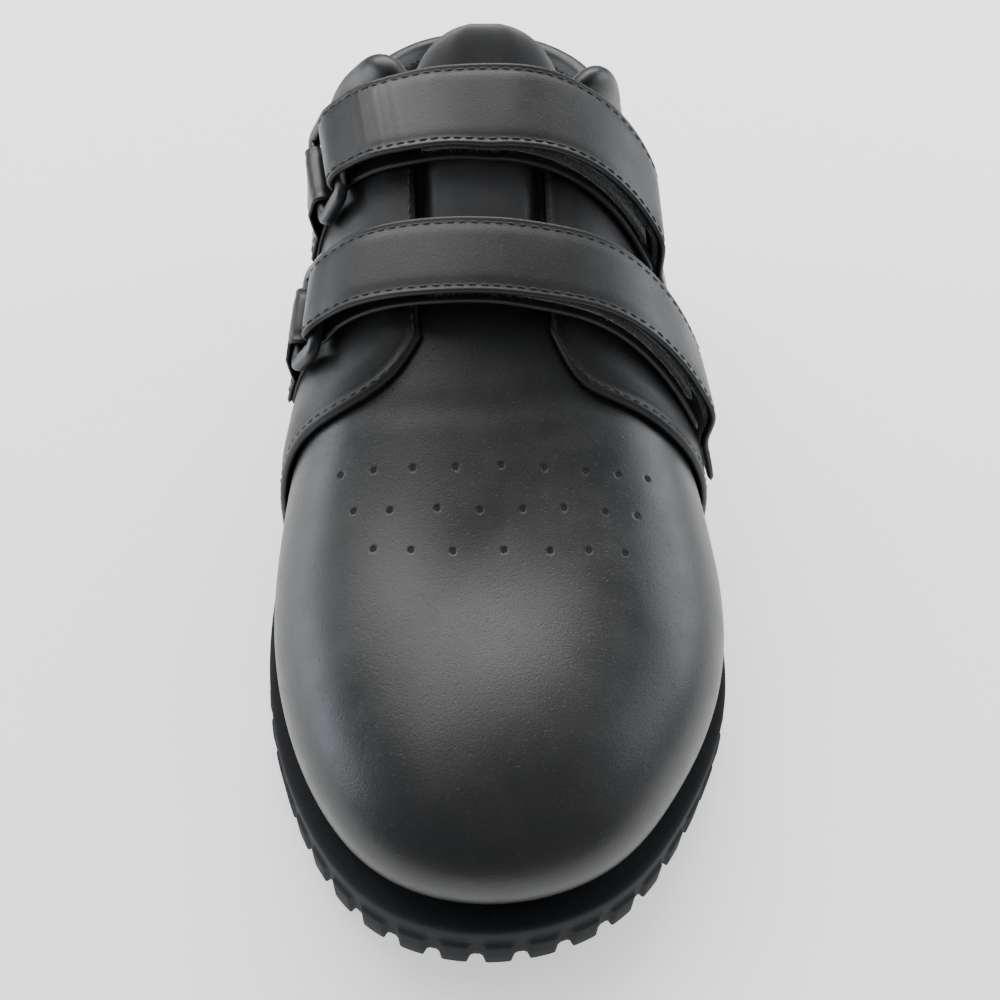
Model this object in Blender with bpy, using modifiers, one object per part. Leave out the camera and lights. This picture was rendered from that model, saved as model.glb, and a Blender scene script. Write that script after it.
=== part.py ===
"""Extra wide strap shoe, left foot, empty and standing on its sole.

Metres. +X is the outer (lateral) side of the foot, the toe points to -Y and the floor is z = 0.
The upper is worked out on ribs. Each rib starts at the sole's edge, at a share of the length from
the heel, and leans up to the ridge of the foot. Overlays, straps and collar follow the same ribs.
"""

import math

import bmesh
import bpy
import numpy as np

# Driving sizes of the last and the upper
last_length = 0.294
ball_width = 0.1168
instep_height = 0.117
collar_height = 0.092
wall_height = 0.072
wall_bulge = 0.022
wall_lean = 0.0060
widest_rise = 0.018
upper_wall = 0.0022
fit_gap = 0.0003

# Driving sizes of the sole
heel_height = 0.030
toe_spring = 0.008
arch_relief = 0.0018
flange = 0.0032
lug_pitch = 0.0098
lug_proud = 0.0009
lug_height = 0.0085
groove_depth = 0.0028
lug_length = 0.010
lug_share = 0.58
groove_draft = 0.08
sole_chamfer = 0.0012

# Driving sizes of what lies on the upper
quarter_wall = 0.0020
quarter_foot = 0.014
throat_clearance = 0.0025
roll_height = 0.0190
roll_thickness = 0.0105
wing_share = 1.22
insole_thickness = 0.0035
insole_inset = 0.0050
tongue_width = 0.058
tongue_tip = 0.0165
strap_thickness = 0.0017
pile_thickness = 0.0013
hook_thickness = 0.0010
strap_gap = 0.0010
quarter_gap = 0.0009
tongue_gap = 0.0017
tape_gap = 0.00046
seam_gap = 0.0013
ring_bar = 0.0032
ring_side = 0.0046
ring_depth = 0.0145
ring_play = 0.0008
ring_corner = 0.0022
chape_thickness = 0.0012
chape_inset = 0.0022

# Shares: along is from the heel, centre and half of half the ball width, sole of the heel height,
# rise of the widest line's rise, crest of the instep height, spine is where the rib ends along the
# length, fullness is the dome's power and wall blends from the dome to the upright heel wall
last_rows = (
    # along, centre, half, sole, rise, crest, spine, fullness, wall
    (0.00, 0.062, 0.000, 1.000, 1.00, 0.930, 0.215, 2.60, 1.00),
    (0.03, 0.060, 0.405, 1.000, 1.00, 0.930, 0.220, 2.60, 1.00),
    (0.10, 0.048, 0.664, 1.000, 1.00, 0.940, 0.230, 2.60, 1.00),
    (0.20, -0.005, 0.765, 0.983, 0.94, 1.010, 0.262, 3.20, 0.90),
    (0.32, -0.004, 0.800, 0.900, 0.83, 1.040, 0.335, 3.10, 0.28),
    (0.45, 0.005, 0.858, 0.750, 0.72, 0.885, 0.450, 2.50, 0.05),
    (0.58, -0.006, 0.952, 0.617, 0.67, 0.700, 0.580, 2.30, 0.00),
    (0.70, -0.012, 1.000, 0.567, 0.61, 0.560, 0.690, 2.25, 0.00),
    (0.82, -0.024, 0.925, 0.553, 0.56, 0.500, 0.745, 2.20, 0.00),
    (0.92, -0.067, 0.687, 0.547, 0.50, 0.478, 0.785, 2.10, 0.00),
    (0.98, -0.089, 0.394, 0.547, 0.50, 0.468, 0.803, 2.10, 0.00),
    (1.00, -0.098, 0.000, 0.530, 0.50, 0.465, 0.808, 2.10, 0.00),
)

# Top of the collar, as a share of its height at the heel
collar_rows = (
    # along, height
    (0.000, 0.970),
    (0.060, 0.962),
    (0.130, 0.930),
    (0.190, 0.935),
    (0.240, 1.070),
    (0.285, 1.250),
    (0.325, 1.420),
    (0.400, 1.600),
)
collar_front = 0.316

# Padded roll on the collar: height and thickness as shares of theirs at the heel
roll_rows = (
    # along, height, thickness, lift
    (0.000, 1.00, 1.00, 0.0000),
    (0.180, 1.00, 1.00, 0.0000),
    (0.250, 0.80, 1.15, 0.0010),
    (0.290, 0.62, 1.25, 0.0022),
    (0.320, 0.50, 1.20, 0.0022),
    (0.350, 0.22, 1.00, 0.0010),
    (0.380, 0.00, 1.00, 0.0000),
)
throat_top = 0.230

# Opening between the facings, either side of its middle
throat_rows = (
    # along, middle, half gap
    (0.280, 0.0020, 0.0200),
    (0.340, 0.0007, 0.0190),
    (0.390, -0.0020, 0.0174),
    (0.430, -0.0028, 0.0170),
    (0.600, -0.0022, 0.0170),
)
throat_end = 0.540
facing_end = 0.573
spring_start = 0.687
spring_power = 1.8
arch_from, arch_to = 0.30, 0.54
back_seam = 0.0008
seam_merge = 0.00006
lowest_edge = 0.2
heel_turn = 0.012
up_step = 0.01
roll_taper_from = 0.93
roll_end_size = 0.2
tongue_edge_share = 0.45
tip_back, tip_up = 0.62, 0.78
fold_clear = 0.05

# Front edge of a quarter, from the sole's edge up to its facing: shares of the length
quarter_rows = (
    # up, medial, lateral
    (0.00, 0.628, 0.645),
    (0.30, 0.616, 0.638),
    (0.58, 0.613, 0.633),
    (0.76, 0.615, 0.626),
    (0.87, 0.609, 0.621),
    (0.95, 0.593, 0.604),
    (1.00, 0.573, 0.573),
)

# Tongue: along the length, lift over the ridge, half width of the padding's share, thickness
tongue_rows = (
    # along, lift, width, thickness
    (0.556, -0.0042, 0.56, 0.0018),
    (0.530, -0.0040, 0.62, 0.0022),
    (0.500, -0.0010, 0.72, 0.0036),
    (0.460, 0.0015, 0.78, 0.0055),
    (0.415, 0.0026, 0.82, 0.0068),
    (0.375, 0.0030, 0.70, 0.0075),
    (0.340, 0.0050, 0.62, 0.0078),
)
tip_rows = (
    # step, size
    (0.35, 0.96),
    (0.70, 0.84),
    (0.92, 0.64),
    (1.00, 0.36),
)

# Straps, from the fold on the medial side over the foot to the free end. Around is the share of
# the rib from the ridge to the sole's edge, negative on the medial side.
strap_rows = {
    "upper": (
        # around, front, back, lift of the front, lift of the back
        (-0.440, 0.413, 0.339, 0.0000, 0.0012),
        (-0.350, 0.417, 0.344, 0.0000, 0.0012),
        (-0.220, 0.427, 0.354, 0.0000, 0.0008),
        (-0.080, 0.431, 0.358, 0.0000, 0.0014),
        (0.000, 0.434, 0.360, 0.0000, 0.0020),
        (0.120, 0.435, 0.361, 0.0000, 0.0014),
        (0.200, 0.437, 0.363, 0.0000, 0.0004),
        (0.300, 0.443, 0.369, 0.0000, 0.0000),
        (0.400, 0.456, 0.380, 0.0000, 0.0000),
        (0.480, 0.472, 0.396, 0.0000, 0.0000),
        (0.620, 0.506, 0.430, 0.0000, 0.0000),
    ),
    "lower": (
        # around, front, back, lift of the front, lift of the back
        (-0.480, 0.552, 0.485, 0.0006, 0.0000),
        (-0.400, 0.548, 0.481, 0.0008, 0.0000),
        (-0.300, 0.550, 0.483, 0.0008, 0.0000),
        (-0.150, 0.557, 0.490, 0.0008, 0.0000),
        (0.000, 0.561, 0.494, 0.0010, 0.0000),
        (0.120, 0.564, 0.497, 0.0008, 0.0000),
        (0.250, 0.566, 0.499, 0.0008, 0.0000),
        (0.350, 0.573, 0.506, 0.0006, 0.0000),
        (0.430, 0.583, 0.515, 0.0003, 0.0000),
        (0.520, 0.595, 0.527, 0.0000, 0.0000),
        (0.640, 0.610, 0.541, 0.0000, 0.0000),
        (0.800, 0.627, 0.557, 0.0000, 0.0000),
    ),
}
strap_ends = {
    # fold, anchored end, free end and the pile's two ends, all as around
    "upper": (-0.395, 0.470, 0.560, -0.180, 0.440),
    "lower": (-0.445, 0.600, 0.745, -0.200, 0.570),
}
strap_widths = {"upper": 0.0250, "lower": 0.0215}
tape_inset = 0.0020
settle_length = 0.10
chape_length = 0.017

colours = {
    "black_leather": ((0.035, 0.033, 0.032), 0.45),
    "black_lining": ((0.028, 0.028, 0.030), 0.80),
    "black_rubber": ((0.020, 0.021, 0.023), 0.85),
    "black_plastic": ((0.018, 0.019, 0.021), 0.40),
    "hook_and_loop": ((0.022, 0.023, 0.027), 0.95),
}

half_ball = ball_width / 2
heel_y = last_length / 2
last_table = np.array(last_rows)
last_angles = np.arccos(1 - 2 * last_table[:, 0])
last_columns = ("along", "centre", "half", "sole", "rise", "crest", "spine", "fullness", "wall")
column_scale = {
    "centre": half_ball,
    "half": half_ball,
    "sole": heel_height,
    "rise": widest_rise,
    "crest": instep_height,
    "spine": last_length,
}


def spline(x, xs, ys, flat):
    """A cubic through the table's rows, level at both ends when flat."""
    xs = np.asarray(xs, float)
    ys = np.asarray(ys, float)
    rows = len(xs)
    step = np.diff(xs)
    matrix = np.zeros((rows, rows))
    right = np.zeros(rows)
    for i in range(1, rows - 1):
        matrix[i, i - 1 : i + 2] = step[i - 1], 2 * (step[i - 1] + step[i]), step[i]
        right[i] = 6 * ((ys[i + 1] - ys[i]) / step[i] - (ys[i] - ys[i - 1]) / step[i - 1])
    if flat:
        matrix[0, :2] = 2 * step[0], step[0]
        right[0] = 6 * (ys[1] - ys[0]) / step[0]
        matrix[-1, -2:] = step[-1], 2 * step[-1]
        right[-1] = -6 * (ys[-1] - ys[-2]) / step[-1]
    else:
        matrix[0, 0] = matrix[-1, -1] = 1
    bend = np.linalg.solve(matrix, right)
    k = np.clip(np.searchsorted(xs, x) - 1, 0, rows - 2)
    before = xs[k + 1] - x
    after = x - xs[k]
    h = step[k]
    return (
        (bend[k] * before**3 + bend[k + 1] * after**3) / (6 * h)
        + (ys[k] / h - bend[k] * h / 6) * before
        + (ys[k + 1] / h - bend[k + 1] * h / 6) * after
    )


def rows_at(x, rows, value):
    """One column of a short table, at any share between its first and last rows."""
    table = np.array(rows)
    table = table[np.argsort(table[:, 0])]
    x = np.clip(x, table[0, 0], table[-1, 0])
    return spline(x, table[:, 0], table[:, value], False)


def last(name, angle):
    column = last_table[:, last_columns.index(name)]
    return spline(angle, last_angles, column, name != "half") * column_scale.get(name, 1.0)


def angle_at(along):
    return np.arccos(1 - 2 * np.clip(along, 0, 1))


def share_at(angle):
    return (1 - np.cos(angle)) / 2


def spring_at(along):
    lift = np.clip((along - spring_start) / (1 - spring_start), 0, 1)
    return toe_spring * lift**spring_power


def seat_height(angle):
    """Height of the edge where upper and sole meet."""
    return last("sole", angle) + spring_at(share_at(angle))


def rib(side, angle, up):
    """A point of the last: up is 0 at the sole's edge and 1 on the ridge."""
    angle, up = np.broadcast_arrays(np.asarray(angle, float), np.asarray(up, float))
    y = heel_y - last_length * share_at(angle)
    wide_x = last("centre", angle) + side * last("half", angle)
    rise = last("rise", angle)
    seat = seat_height(angle)
    wide_z = seat + rise
    ridge_y = heel_y - last("spine", angle)
    ridge_x = last("centre", angle_at(last("spine", angle) / last_length))
    to_x = ridge_x - wide_x
    to_y = ridge_y - y
    tall = last("crest", angle) - wide_z
    power = last("fullness", angle)
    tuck = np.arcsin(np.clip(rise / tall, 0, 0.9))
    turn = -tuck + up * (math.pi / 2 + tuck)
    level = np.abs(np.cos(turn))
    steep = np.abs(np.sin(turn))
    reach = (level**power + steep**power) ** (-1 / power)
    inward = 1 - reach * np.cos(turn)
    dome = np.stack([wide_x + to_x * inward, y + to_y * inward, wide_z + tall * reach * np.sin(turn)], -1)
    height = up * wall_height
    lean = wall_lean * ((height - wall_bulge) / (wall_height - wall_bulge)) ** 2
    run = np.maximum(np.hypot(to_x, to_y), 1e-9)
    wall = np.stack([wide_x + to_x / run * lean, y + to_y / run * lean, seat + height], -1)
    blend = np.clip(last("wall", angle), 0, 1)[..., None]
    return dome * (1 - blend) + wall * blend


def normal(side, angle, up):
    tiny = 1e-3
    angle = np.clip(angle, 0.02, math.pi - 0.03)
    up = np.clip(up, 0, 0.985)
    along = rib(side, angle + tiny, up) - rib(side, angle - tiny, up)
    upward = rib(side, angle, up + tiny) - rib(side, angle, up - tiny)
    out = -np.cross(along, upward) * side
    return out / np.linalg.norm(out, axis=-1, keepdims=True)


def skin(side, angle, up, lift=0.0):
    """A point at a distance over the last."""
    values = [np.asarray(value, float) for value in (angle, up, lift)]
    angle, up, lift = np.broadcast_arrays(*values)
    return rib(side, angle, up) + normal(side, angle, up) * lift[..., None]


def collar_top(along):
    return collar_height * rows_at(along, collar_rows, 1)


def roll_at(along):
    return roll_height * np.maximum(rows_at(along, roll_rows, 1), 0)


def throat_middle(along):
    return last("centre", angle_at(along)) + rows_at(along, throat_rows, 1)


def throat_half(along):
    return rows_at(along, throat_rows, 2)


def edge_up(side, along, beyond_gap, clearance, closed_from):
    """How far up a rib the upper goes: to the roll on the collar, or to the throat's edge."""
    if along >= closed_from - 1e-6:
        return 1.0
    up = np.linspace(0, 1, 801)
    points = rib(side, np.full_like(up, angle_at(along)), up)
    beyond = closed_from - along
    gap = throat_half(along) + beyond_gap
    round_off = math.sqrt(1 - max(0.0, 1 - beyond * last_length / gap) ** 2)
    middle = throat_middle(along)
    roll = roll_at(along)
    stop = (points[:, 2] >= collar_top(along) - roll - clearance) & (up > lowest_edge)
    if along > throat_top:
        stop |= side * (points[:, 0] - middle) <= (gap + roll * wing_share) * round_off
    return float(up[np.argmax(stop)]) if stop.any() else 1.0


def shade(obj, slot):
    colour, roughness = colours[slot]
    material = bpy.data.materials.new(obj.name)
    material.use_nodes = True
    material.diffuse_color = (*colour, 1)
    surface = material.node_tree.nodes["Principled BSDF"]
    surface.inputs["Base Color"].default_value = (*colour, 1)
    surface.inputs["Roughness"].default_value = roughness
    obj.data.materials.append(material)
    obj.data.shade_smooth()


def add_mesh(name, bm, slot):
    mesh = bpy.data.meshes.new(name)
    bm.to_mesh(mesh)
    bm.free()
    obj = bpy.data.objects.new(name, mesh)
    shoe.objects.link(obj)
    shade(obj, slot)
    return obj


def add_faces(bm, grid, flip):
    """Quads over a grid of points."""
    verts = [[bm.verts.new(point) for point in row] for row in grid]
    for low, high in zip(verts, verts[1:]):
        for j in range(len(low) - 1):
            corners = [low[j], low[j + 1], high[j + 1], high[j]]
            bm.faces.new(corners[::-1] if flip else corners)
    return verts


def add_sheet(name, grids, thickness, outward, slot):
    """An open surface given its thickness: outward from it, or inward."""
    bm = bmesh.new()
    for side, grid in grids:
        add_faces(bm, grid, side < 0)
    bmesh.ops.remove_doubles(bm, verts=bm.verts, dist=seam_merge)
    obj = add_mesh(name, bm, slot)
    solid = obj.modifiers.new("thickness", "SOLIDIFY")
    solid.thickness = thickness
    solid.offset = 1.0 if outward else -1.0
    solid.use_even_offset = True
    return obj


def add_loft(name, rings, slot, ladder=False):
    """A closed body through rings of as many points each. A ladder cap joins left to right."""
    bm = bmesh.new()
    verts = [[bm.verts.new(point) for point in ring] for ring in rings]
    count = len(verts[0])
    for low, high in zip(verts, verts[1:]):
        for j in range(count):
            k = (j + 1) % count
            bm.faces.new((low[j], low[k], high[k], high[j]))
    for ring, flip in ((verts[0], True), (verts[-1], False)):
        if not ladder:
            bm.faces.new(ring[::-1] if flip else ring)
            continue
        for j in range(count // 2):
            corners = [ring[j], ring[j + 1], ring[(count - j - 1) % count], ring[(count - j) % count]]
            corners = [v for i, v in enumerate(corners) if v not in corners[:i]]
            bm.faces.new(corners[::-1] if flip else corners)
    bmesh.ops.recalc_face_normals(bm, faces=bm.faces)
    return add_mesh(name, bm, slot)


def outline(side, angle, out):
    """The widest line of the upper from above, moved outward."""
    def plan(a):
        return np.stack([last("centre", a) + side * last("half", a), heel_y - last_length * share_at(a)], -1)

    tiny = 1e-3
    a = np.clip(angle, tiny, math.pi - tiny)
    along = plan(a + tiny) - plan(a - tiny)
    away = np.stack([-along[..., 1], along[..., 0]], -1) * side
    away /= np.linalg.norm(away, axis=-1, keepdims=True)
    ends = (angle < 1e-6) | (angle > math.pi - 1e-6)
    away[ends, 0] = 0
    away[ends, 1] = np.where(angle[ends] < 1, 1.0, -1.0)
    return plan(angle) + away * np.asarray(out)[..., None]


def ring_points(angles, out, height):
    """One closed ring round the shoe: down the lateral side, back up the medial side."""
    right = outline(1, angles, out)
    left = outline(-1, angles, out)
    right = np.column_stack([right, height])
    left = np.column_stack([left, height])
    return np.vstack([right, left[-2:0:-1]])


def lug_angles():
    """Angles of the lugs' edges, even along the outline, and whether each is on a lug."""
    fine = np.linspace(0, math.pi, 2001)
    right = outline(1, fine, np.full_like(fine, flange))
    left = outline(-1, fine, np.full_like(fine, flange))
    middle = (right - left * [1, -1]) / 2
    middle[:, 1] = heel_y - last_length * share_at(fine)
    arc = np.concatenate([[0], np.cumsum(np.hypot(*np.diff(middle, axis=0).T))])
    lugs = round(arc[-1] / lug_pitch)
    places = [0.0]
    on_lug = [True]
    for i in range(lugs):
        for share, on in (
            (lug_share / 2, True),
            (lug_share / 2 + groove_draft, False),
            (1 - lug_share / 2 - groove_draft, False),
            (1 - lug_share / 2, True),
        ):
            places.append((i + share) / lugs * arc[-1])
            on_lug.append(on)
    places.append(arc[-1])
    on_lug.append(True)
    return np.interp(places, arc, fine), np.array(on_lug)


def make_sole():
    angles, on_lug = lug_angles()
    along = share_at(angles)
    arch = np.clip((along - arch_from) / (arch_to - arch_from), 0, 1)
    floor = spring_at(along) + arch_relief * np.sin(math.pi * arch) ** 2
    top = seat_height(angles) - fit_gap
    foot = floor + lug_height
    out = np.full_like(angles, flange)
    proud = np.where(on_lug, lug_proud, 0.0)
    tread = floor + np.where(on_lug, 0.0, groove_depth)
    rings = [
        ring_points(angles, out - sole_chamfer, top),
        ring_points(angles, out, top - sole_chamfer),
        ring_points(angles, out, foot + lug_proud),
        ring_points(angles, out + proud, foot),
        ring_points(angles, out + proud, tread),
        ring_points(angles, out - lug_length, floor),
    ]
    add_loft("sole", rings, "black_rubber", ladder=True)


def make_insole():
    angles = np.linspace(0, math.pi, 27)
    seat = seat_height(angles)
    out = np.full_like(angles, -upper_wall - insole_inset)
    rings = [ring_points(angles, out, seat + insole_thickness), ring_points(angles, out, seat)]
    add_loft("insole", rings, "black_lining", ladder=True)


def make_upper():
    open_ribs = angle_at(throat_end) * np.linspace(0, 1, 24)
    closed_ribs = np.linspace(angle_at(throat_end), math.pi, 19)[1:]
    grids = []
    for side in (1, -1):
        grid = []
        for angle in np.concatenate([open_ribs, closed_ribs]):
            top = edge_up(side, share_at(angle), 2 * fit_gap, fit_gap, throat_end)
            grid.append(skin(side, angle, top * np.linspace(0, 1, 10)))
        grids.append((side, grid))
    add_sheet("upper", grids, upper_wall, False, "black_leather")


def make_quarter(name, side):
    column = 1 if side < 0 else 2
    ups = np.linspace(0, 1, 10)
    ups[0] = quarter_foot
    front = rows_at(ups, quarter_rows, column)
    grid = []
    for u in np.linspace(0, 1, 25):
        row = []
        for up, end in zip(ups, front):
            start = angle_at(back_seam)
            angle = start + u * (angle_at(end) - start)
            along = share_at(angle)
            top = edge_up(side, min(along, facing_end), 0.0, fit_gap, facing_end + 0.04)
            row.append(skin(side, angle, up * top, quarter_gap))
        grid.append(row)
    add_sheet(name, [(side, grid)], quarter_wall, True, "black_leather")


def make_collar():
    """The padded roll along the top, from one facing round the heel to the other."""
    stations = []
    reach = angle_at(collar_front)
    for turn in np.linspace(-1, 1, 41):
        side = -1 if turn < 0 else 1
        angle = max(abs(turn) * reach, heel_turn)
        along = share_at(angle)
        top = edge_up(side, along, 0.0, 0.0, throat_end)
        lift = (quarter_wall + quarter_gap - upper_wall) / 2 + rows_at(along, roll_rows, 3)
        base = skin(side, angle, top, lift)
        out = normal(side, angle, top)
        upward = rib(side, angle, top) - rib(side, angle, top - up_step)
        upward /= np.linalg.norm(upward)
        half_thick = roll_thickness / 2 * rows_at(along, roll_rows, 2)
        stations.append((base, out, upward, roll_at(along), half_thick, abs(turn)))
    rings = []
    for base, out, upward, tall, half_thick, near_end in stations:
        taper = max(0.0, (near_end - roll_taper_from) / (1 - roll_taper_from)) ** 2
        size = math.sqrt(1 - taper * (1 - roll_end_size))
        ring = []
        for turn in np.linspace(0, 2 * math.pi, 11)[:-1]:
            across = half_thick * math.cos(turn) * size
            high = tall / 2 * (1 + math.sin(turn) * size)
            ring.append(base + out * across + upward * (high + seam_gap))
        rings.append(ring)
    add_loft("collar_padding", rings, "black_leather")


def strap_edge(kind, around, back, lift):
    """A point on a strap's front or back edge at a height over the last."""
    rows = strap_rows[kind]
    angle = angle_at(float(rows_at(around, rows, 2 if back else 1)))
    side = -1 if around < 0 else 1
    lift = lift + float(rows_at(around, rows, 4 if back else 3))
    return skin(side, angle, 1 - abs(around), lift), normal(side, angle, 1 - abs(around))


def add_strip(name, path, thickness, slot):
    """A flat strip along front and back points. Each row gives them and which way is outward."""
    rings = []
    for front, back, front_out, back_out in path:
        rings.append(
            [
                front + front_out * thickness / 2,
                back + back_out * thickness / 2,
                back - back_out * thickness / 2,
                front - front_out * thickness / 2,
            ]
        )
    add_loft(name, rings, slot)


def run_path(kind, arounds, lifts, flip=False, inset=0.0):
    path = []
    for around, lift in zip(arounds, lifts):
        front, front_out = strap_edge(kind, around, False, lift)
        back, back_out = strap_edge(kind, around, True, lift)
        across = (back - front) / np.linalg.norm(back - front)
        middle = (front + back) / 2
        sign = -1 if flip else 1
        half = across * (strap_widths[kind] / 2 - inset)
        path.append((middle - half, middle + half, front_out * sign, back_out * sign))
    return path


def fold_path(front, back, down, out, radius, turns):
    """Points round a bar, from the side near the foot to the far side."""
    path = []
    for turn in turns:
        away = down * math.cos(turn) + out * math.sin(turn)
        path.append((front + away * radius, back + away * radius, away, away))
    return path


def settled(kind, arounds, lift):
    """Past the anchored end the free end settles on the quarter."""
    anchor = strap_ends[kind][1]
    share = np.clip((arounds - anchor) / settle_length, 0, 1)
    drop = strap_thickness + pile_thickness + 2 * tape_gap
    return lift - drop * share**2 * (3 - 2 * share)


def make_strap(kind):
    fold, anchor, free, tape_from, tape_to = strap_ends[kind]
    under = quarter_wall + quarter_gap + strap_gap + strap_thickness / 2
    bar = under + strap_thickness / 2 + fit_gap + ring_bar / 2
    radius = ring_bar / 2 + fit_gap + strap_thickness / 2
    pile = under + strap_thickness / 2 + tape_gap + pile_thickness / 2
    hook = pile + pile_thickness / 2 + tape_gap + hook_thickness / 2
    over = hook + hook_thickness / 2 + tape_gap + strap_thickness / 2
    front, front_out = strap_edge(kind, fold, False, bar)
    back, back_out = strap_edge(kind, fold, True, bar)
    across = (back - front) / np.linalg.norm(back - front)
    middle = (front + back) / 2
    rows = strap_rows[kind]
    angle = angle_at(float(rows_at(fold, rows, 1) + rows_at(fold, rows, 2)) / 2)
    bar_low = quarter_wall + quarter_gap + strap_gap + chape_thickness + fit_gap + ring_bar / 2
    lower = np.linspace(abs(fold), abs(fold) + 0.3, 301)
    places = skin(-1, angle, 1 - lower, bar_low)
    reach = np.argmax(np.linalg.norm(places - middle, axis=1) >= ring_depth - ring_bar)
    down = places[reach] - middle
    down -= across * np.dot(down, across)
    down /= np.linalg.norm(down)
    out = np.cross(down, across)
    if np.dot(out, front_out) < 0:
        out = -out
    half = across * strap_widths[kind] / 2
    over_run = np.linspace(fold + fold_clear, free, 21)
    under_run = over_run[over_run <= anchor][::-1]
    path = run_path(kind, under_run, np.full_like(under_run, under), flip=True)
    turns = np.linspace(-math.pi / 2, math.pi / 2, 7)
    path += fold_path(middle - half, middle + half, down, out, radius, turns)
    path += run_path(kind, over_run, settled(kind, over_run, over))
    add_strip("strap_" + kind, path, strap_thickness, "black_leather")
    pile_run = over_run[(over_run >= tape_from) & (over_run <= tape_to)]
    pile_path = run_path(kind, pile_run, np.full_like(pile_run, pile), inset=tape_inset)
    add_strip("pile_" + kind, pile_path, pile_thickness, "hook_and_loop")
    hook_run = over_run[over_run >= tape_from][:-1]
    hook_path = run_path(kind, hook_run, settled(kind, hook_run, hook), inset=tape_inset)
    add_strip("hook_" + kind, hook_path, hook_thickness, "hook_and_loop")
    make_ring(kind, middle, across, down, out)
    make_chape(kind, angle, lower[reach], middle + down * (ring_depth - ring_bar), across, down, out)


def make_ring(kind, middle, across, down, out):
    """A rectangular loop: its upper bar lies in the strap's fold and its lower bar in the chape."""
    half_long = strap_widths[kind] / 2 + ring_play + ring_side / 2
    low = ring_depth - ring_bar
    path = []
    for sign_x, sign_y, start in ((1, 0, -90), (1, 1, 0), (-1, 1, 90), (-1, 0, 180)):
        centre_x = sign_x * (half_long - ring_corner)
        centre_y = (low - ring_corner) if sign_y else ring_corner
        for part in (0, 45, 90):
            angle = math.radians(start + part)
            path.append((centre_x + ring_corner * math.cos(angle), centre_y + ring_corner * math.sin(angle)))
    rings = []
    for i, (x, y) in enumerate(path):
        before = np.array(path[i - 1])
        after = np.array(path[(i + 1) % len(path)])
        along = (after - before) / np.linalg.norm(after - before)
        side_share = abs(along[1])
        width = ring_bar + (ring_side - ring_bar) * side_share
        outward = np.array([along[1], -along[0]])
        ring = []
        for turn in range(8):
            angle = math.radians(22.5 + 45 * turn)
            wide = outward * width / 2 * np.clip(math.cos(angle) * 1.25, -1, 1)
            deep = ring_bar / 2 * np.clip(math.sin(angle) * 1.25, -1, 1)
            ring.append(middle + across * (x + wide[0]) + down * (y + wide[1]) + out * deep)
        rings.append(ring)
    bm = bmesh.new()
    verts = [[bm.verts.new(point) for point in ring] for ring in rings]
    for i, low_ring in enumerate(verts):
        high_ring = verts[(i + 1) % len(verts)]
        for j in range(8):
            k = (j + 1) % 8
            bm.faces.new((low_ring[j], low_ring[k], high_ring[k], high_ring[j]))
    bmesh.ops.recalc_face_normals(bm, faces=bm.faces)
    add_mesh("ring_" + kind, bm, "black_plastic")


def make_chape(kind, angle, around, bar, across, down, out):
    """A tab folded round the ring's lower bar and sewn flat to the quarter below it."""
    half = across * (strap_widths[kind] / 2 - chape_inset)
    radius = ring_bar / 2 + 2 * fit_gap + chape_thickness / 2
    inner = quarter_wall + quarter_gap + strap_gap + chape_thickness / 2
    outer = inner + chape_thickness + fit_gap
    puffed = inner + 2 * radius
    ups = 1 - np.linspace(around, around + 0.3, 301)
    places = skin(-1, angle, ups, inner)
    run = np.concatenate([[0], np.cumsum(np.linalg.norm(np.diff(places, axis=0), axis=1))])
    steps = np.linspace(0.15, 1, 5)
    tail = np.interp(steps * chape_length, run, ups)
    tiny = 1e-3
    half_wide = np.linalg.norm(half)

    def flat_on(up, lift):
        speed = np.linalg.norm(rib(-1, angle + tiny, up) - rib(-1, angle - tiny, up)) / (2 * tiny)
        front_angle = angle + half_wide / speed
        back_angle = angle - half_wide / speed
        return (
            skin(-1, front_angle, up, lift),
            skin(-1, back_angle, up, lift),
            normal(-1, front_angle, up),
            normal(-1, back_angle, up),
        )

    path = []
    for up in tail[::-1]:
        front, back, front_out, back_out = flat_on(up, inner)
        path.append((front, back, -front_out, -back_out))
    path += fold_path(bar - half, bar + half, -down, out, radius, np.linspace(-math.pi / 2, math.pi / 2, 7))
    for up, step in zip(tail, steps):
        share = min(1.0, (step - 0.05) * 2.2)
        path.append(flat_on(up, puffed + (outer - puffed) * share))
    add_strip("chape_" + kind, path, chape_thickness, "black_leather")


def make_tongue():
    rings = []
    across = np.linspace(-1, 1, 9)
    for along, lift, width, thickness in tongue_rows:
        angle = angle_at(along)
        half = tongue_width / 2 * width
        outer = []
        inner = []
        middle = throat_middle(along)
        for share in across:
            side = -1 if share < 0 else 1
            wanted = abs(share) * half
            ups = np.linspace(0, 1, 401)
            reached = side * (rib(side, np.full_like(ups, angle), ups)[:, 0] - middle) <= wanted
            up = ups[np.argmax(reached)] if reached.any() else 1.0
            crown = 1 - min(1.0, (wanted / (throat_half(along) - throat_clearance)) ** 4)
            under = -upper_wall - tongue_gap
            high = under + (lift - under) * max(0.0, crown)
            low = high - thickness * (1 - (1 - tongue_edge_share) * share**2)
            away = normal(side, angle, up)
            away[0] *= abs(share)
            point = rib(side, angle, up)
            point[0] = middle + side * wanted
            outer.append(point + away * high)
            inner.append(point + away * low)
        rings.append(outer + inner[::-1])
    rings += tongue_top(rings[-1])
    add_loft("tongue", rings, "black_leather")


def tongue_top(last_ring):
    """The rounded, padded end that stands up out of the throat."""
    last_ring = np.array(last_ring)
    centre = last_ring.mean(axis=0)
    rise = np.array([0, tongue_tip * tip_back, tongue_tip * tip_up])
    rings = []
    for step, shrink in tip_rows:
        rings.append(centre + rise * step + (last_ring - centre) * shrink)
    return rings


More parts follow.
